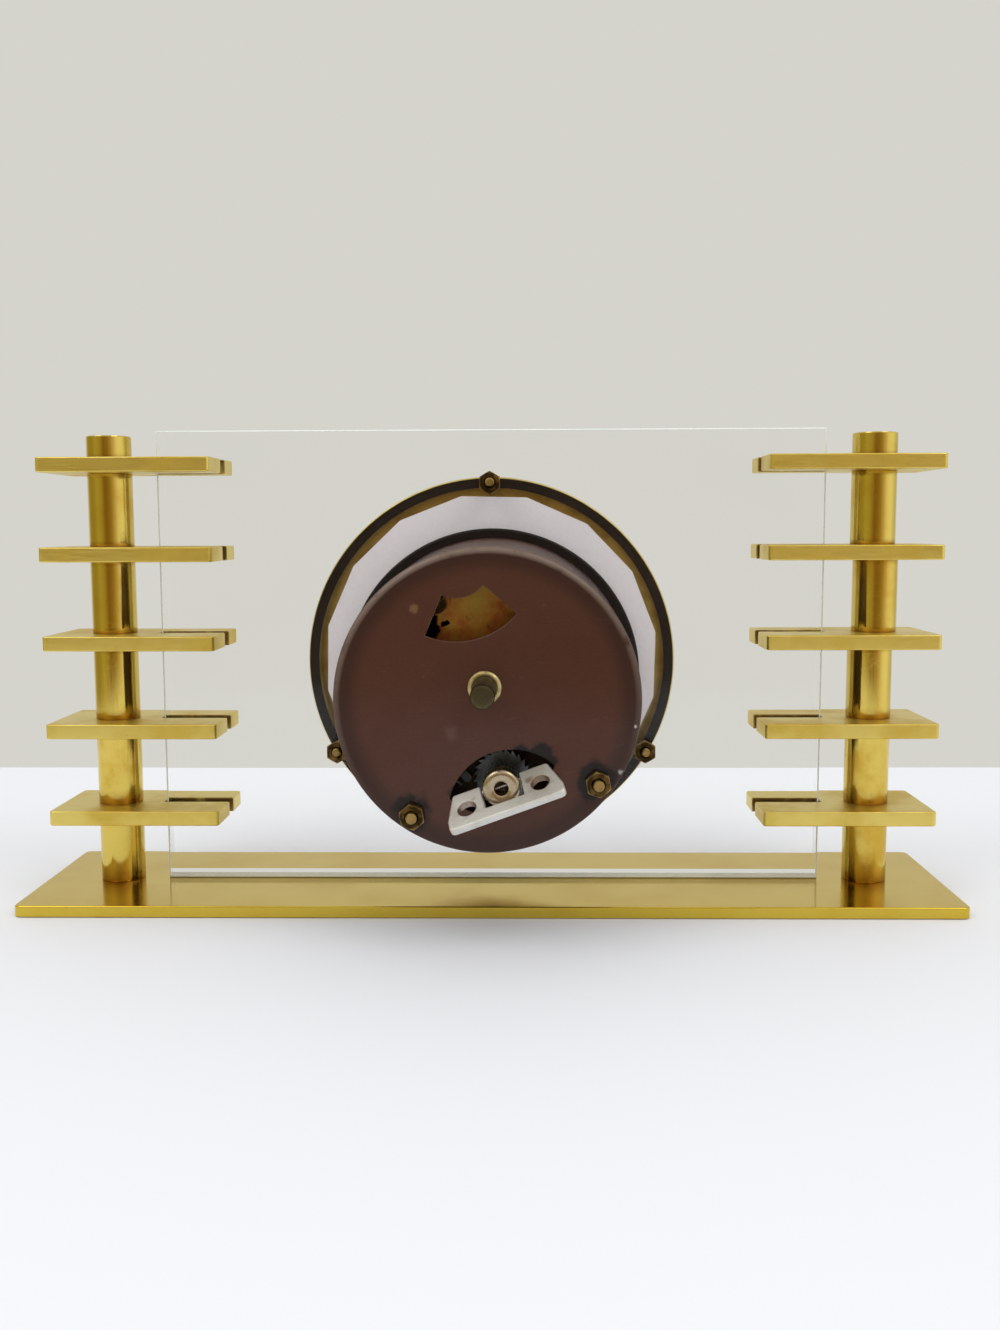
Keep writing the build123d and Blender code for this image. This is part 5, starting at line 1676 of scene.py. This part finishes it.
@dataclass
class Studio:
    """Camera, pale floor, wall, soft lamps and surrounding light."""

    camera_place: Triple = (-0.0092, 0.3486, 0.1011)
    yaw: float = 0.019
    pitch: float = 0.108
    roll: float = -0.0036
    lens: float = 34.18
    sensor: float = 36.0
    nearest: float = 0.01
    wall_y: float = -0.18
    wall_size: Point = (6.0, 4.0)
    wall_mirrored: Point = (0.35, 0.455)
    table: Point = (0.38, 0.56)
    floor_level: float = -0.0002
    floor_halves: tuple[Point, Point] = ((6.0, 6.0), (0.124, 0.0275))
    floor_colour: Triple = (0.82, 0.835, 0.865)
    floor_roughness: float = 0.7
    floor_specular: float = 0.2
    wall_colour: Triple = (0.665, 0.655, 0.605)
    lamps: tuple[tuple[str, Triple], ...] = (
        ("lamp_left", (0.60, 0.50, 0.90)), ("lamp_right", (-0.60, 0.50, 0.90)),
    )
    lamp_size: float = 0.55
    lamp_power: float = 2.0
    lamp_target: Triple = (0.0, 0.0, 0.06)
    soft_heights: Point = (0.0, 0.9)
    soft_light: Point = (0.78, 0.98)
    ceiling_heights: Point = (0.05, 0.6)
    ceiling: Triple = (0.74, 0.71, 0.63)
    surroundings: tuple[tuple[float, Triple], ...] = (
        (-130, (0.50, 0.44, 0.30)), (-100, (0.37, 0.31, 0.10)), (-75, (0.39, 0.32, 0.10)), (-53, (0.48, 0.43, 0.15)),
        (-30, (0.43, 0.34, 0.11)), (-10, (0.24, 0.14, 0.035)), (8, (0.30, 0.18, 0.045)), (22, (0.40, 0.30, 0.10)),
        (39, (0.68, 0.54, 0.45)), (55, (0.92, 0.90, 0.86)), (70, (1.0, 1.0, 1.0)), (85, (1.0, 1.0, 0.95)),
        (112, (0.68, 0.70, 0.62)), (135, (0.52, 0.48, 0.40)),
    )

    def build(self) -> None:
        """Makes the camera, stage and light."""
        self._camera()
        self._floor()
        self._wall()
        self._lamps()
        self._world()
        bpy.context.scene.view_settings.view_transform = "Standard"

    def _camera(self) -> None:
        """Camera at the photograph's place and angle."""
        data = bpy.data.cameras.new("camera")
        data.sensor_fit = "AUTO"
        data.sensor_width = self.sensor
        data.lens = self.lens
        data.clip_start = self.nearest
        aim = Matrix.Rotation(math.pi + self.yaw, 4, "Z") @ Matrix.Rotation(math.pi / 2 - self.pitch, 4, "X")
        place = Matrix.Translation(self.camera_place) @ aim @ Matrix.Rotation(self.roll, 4, "Z")
        bpy.context.scene.camera = new_object("camera", data, place)

    def _sheet(
        self, name: str, corners: Sequence[Triple], faces: Sequence[Sequence[int]], material: bpy.types.Material
    ) -> None:
        """Adds a flat sheet to the stage.

        Args:
            name: Its name.
            corners: Its corners in metres.
            faces: Corner numbers of each face.
            material: What covers it.
        """
        mesh = bpy.data.meshes.new(name)
        mesh.from_pydata(corners, [], faces)
        mesh.materials.append(material)
        new_object(name, mesh)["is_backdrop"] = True

    def _straight(self, graph: Graph) -> Socket:
        """Tells rays that come from the camera with nothing but glass between from mirrored ones.

        Args:
            graph: The tree to work in.

        Returns:
            One for such rays and zero for the others.
        """
        path = graph.node("LightPath").outputs
        direct = graph.math("LESS_THAN", path["Glossy Depth"], 0.5)
        return graph.math("ADD", path["Is Camera Ray"], graph.math("MULTIPLY", path["Is Transmission Ray"], direct))

    def _floor(self) -> None:
        """Pale matt floor, open under the base, seen from above and mirrored as far as a table's edge."""
        corners = []
        for x, y in self.floor_halves:
            corners += [(*corner, self.floor_level) for corner in block((-x, x), (-y, y))]
        faces = [(side, (side + 1) % 4, 4 + (side + 1) % 4, 4 + side) for side in range(4)]
        material, graph, shader = new_material("pale_floor")
        graph.put(shader, {
            "Base Color": self.floor_colour,
            "Roughness": self.floor_roughness,
            "Specular IOR Level": self.floor_specular,
        })
        reach = graph.length(graph.node("TexCoord").outputs["Object"])
        glossy = graph.node("LightPath").outputs["Is Glossy Ray"]
        mirrored = graph.math("SUBTRACT", glossy, self._straight(graph))
        away = graph.math("MULTIPLY", graph.span(reach, *self.table), mirrored)
        away = graph.math("ADD", away, graph.node("NewGeometry").outputs["Backfacing"])
        graph.surface(away, shader.outputs[0], graph.clear())
        self._sheet("floor", corners, faces, material)

    def _wall(self) -> None:
        """Pale wall behind the clock, seen only from its own side."""
        reach, high = self.wall_size
        corners = [(x, self.wall_y, z) for x, z in block((-reach, reach), (0.0, high))[::-1]]
        material, graph, _ = new_material("pale_wall")
        path = graph.node("LightPath").outputs
        across = graph.node("SeparateXYZ", {0: graph.node("TexCoord").outputs["Object"]}).outputs["X"]
        near = graph.span(graph.math("ABSOLUTE", across, clamp=False), *self.wall_mirrored, 1.0, 0.0)
        seen = graph.math("ADD", path["Is Camera Ray"], graph.math("MULTIPLY", path["Is Glossy Ray"], near))
        seen = graph.math("ADD", seen, path["Is Transmission Ray"])
        seen = graph.math("SUBTRACT", seen, graph.node("NewGeometry").outputs["Backfacing"])
        paint = graph.node("Emission", {"Color": self.wall_colour, "Strength": 1.0})
        graph.surface(seen, graph.clear(), paint.outputs[0])
        self._sheet("wall", corners, [(0, 1, 2, 3)], material)

    def _lamps(self) -> None:
        """Two large soft lamps above the camera."""
        for name, place in self.lamps:
            data = bpy.data.lights.new(name, "AREA")
            data.shape = "SQUARE"
            data.size = self.lamp_size
            data.energy = self.lamp_power
            aim = (Vector(self.lamp_target) - Vector(place)).to_track_quat("-Z", "Y")
            new_object(name, data, Matrix.Translation(place) @ aim.to_matrix().to_4x4())

    def _world(self) -> None:
        """Soft room light with brighter and darker parts round the clock."""
        world = bpy.data.worlds.new("room")
        world.use_nodes = True
        bpy.context.scene.world = world
        graph = Graph(world.node_tree)
        split = graph.node("SeparateXYZ", {0: graph.node("TexCoord").outputs["Generated"]}).outputs
        away = graph.math("MULTIPLY", split["X"], -1.0, clamp=False)
        turn = graph.math("ARCTAN2", away, split["Y"], clamp=False)
        share = graph.node("Math", {0: turn, 1: 0.5 / math.pi, 2: 0.5}, operation="MULTIPLY_ADD").outputs[0]
        ramp = graph.node("ValToRGB", {0: share})
        stops = ramp.color_ramp.elements
        for index, (angle, colour) in enumerate(self.surroundings):
            at = 0.5 + angle / 360
            stop = stops[index] if index < 2 else stops.new(at)
            stop.position = at
            stop.color = (*colour, 1.0)
        upward = graph.span(split["Z"], *self.ceiling_heights)
        soft = graph.span(split["Z"], *self.soft_heights, *self.soft_light)
        mirrored = graph.blend(upward, ramp.outputs[0], self.ceiling)
        room = graph.blend(graph.node("LightPath").outputs["Is Glossy Ray"], soft, mirrored)
        shown = graph.blend(self._straight(graph), room, self.wall_colour)
        graph.put(world.node_tree.nodes["Background"], {"Color": shown, "Strength": 1.0})


def write_sizes() -> None:
    """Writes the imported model's box and the dressed model's box."""
    boxes = {"cad": cad_box, "visual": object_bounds()}
    plain = {name: [list(corner) for corner in box] for name, box in boxes.items()}
    log.info("boxes %s", plain)


def main() -> None:
    """Builds the stage and the clock, part by part."""
    logging.basicConfig(level=logging.INFO, format="%(name)s: %(message)s")
    Studio().build()
    workshop = Workshop()
    for assembly in (Stand, ClockHead, MovementCase, WindingKey, Movement):
        assembly(workshop).build()
    write_sizes()


if __name__ == "__main__":
    main()
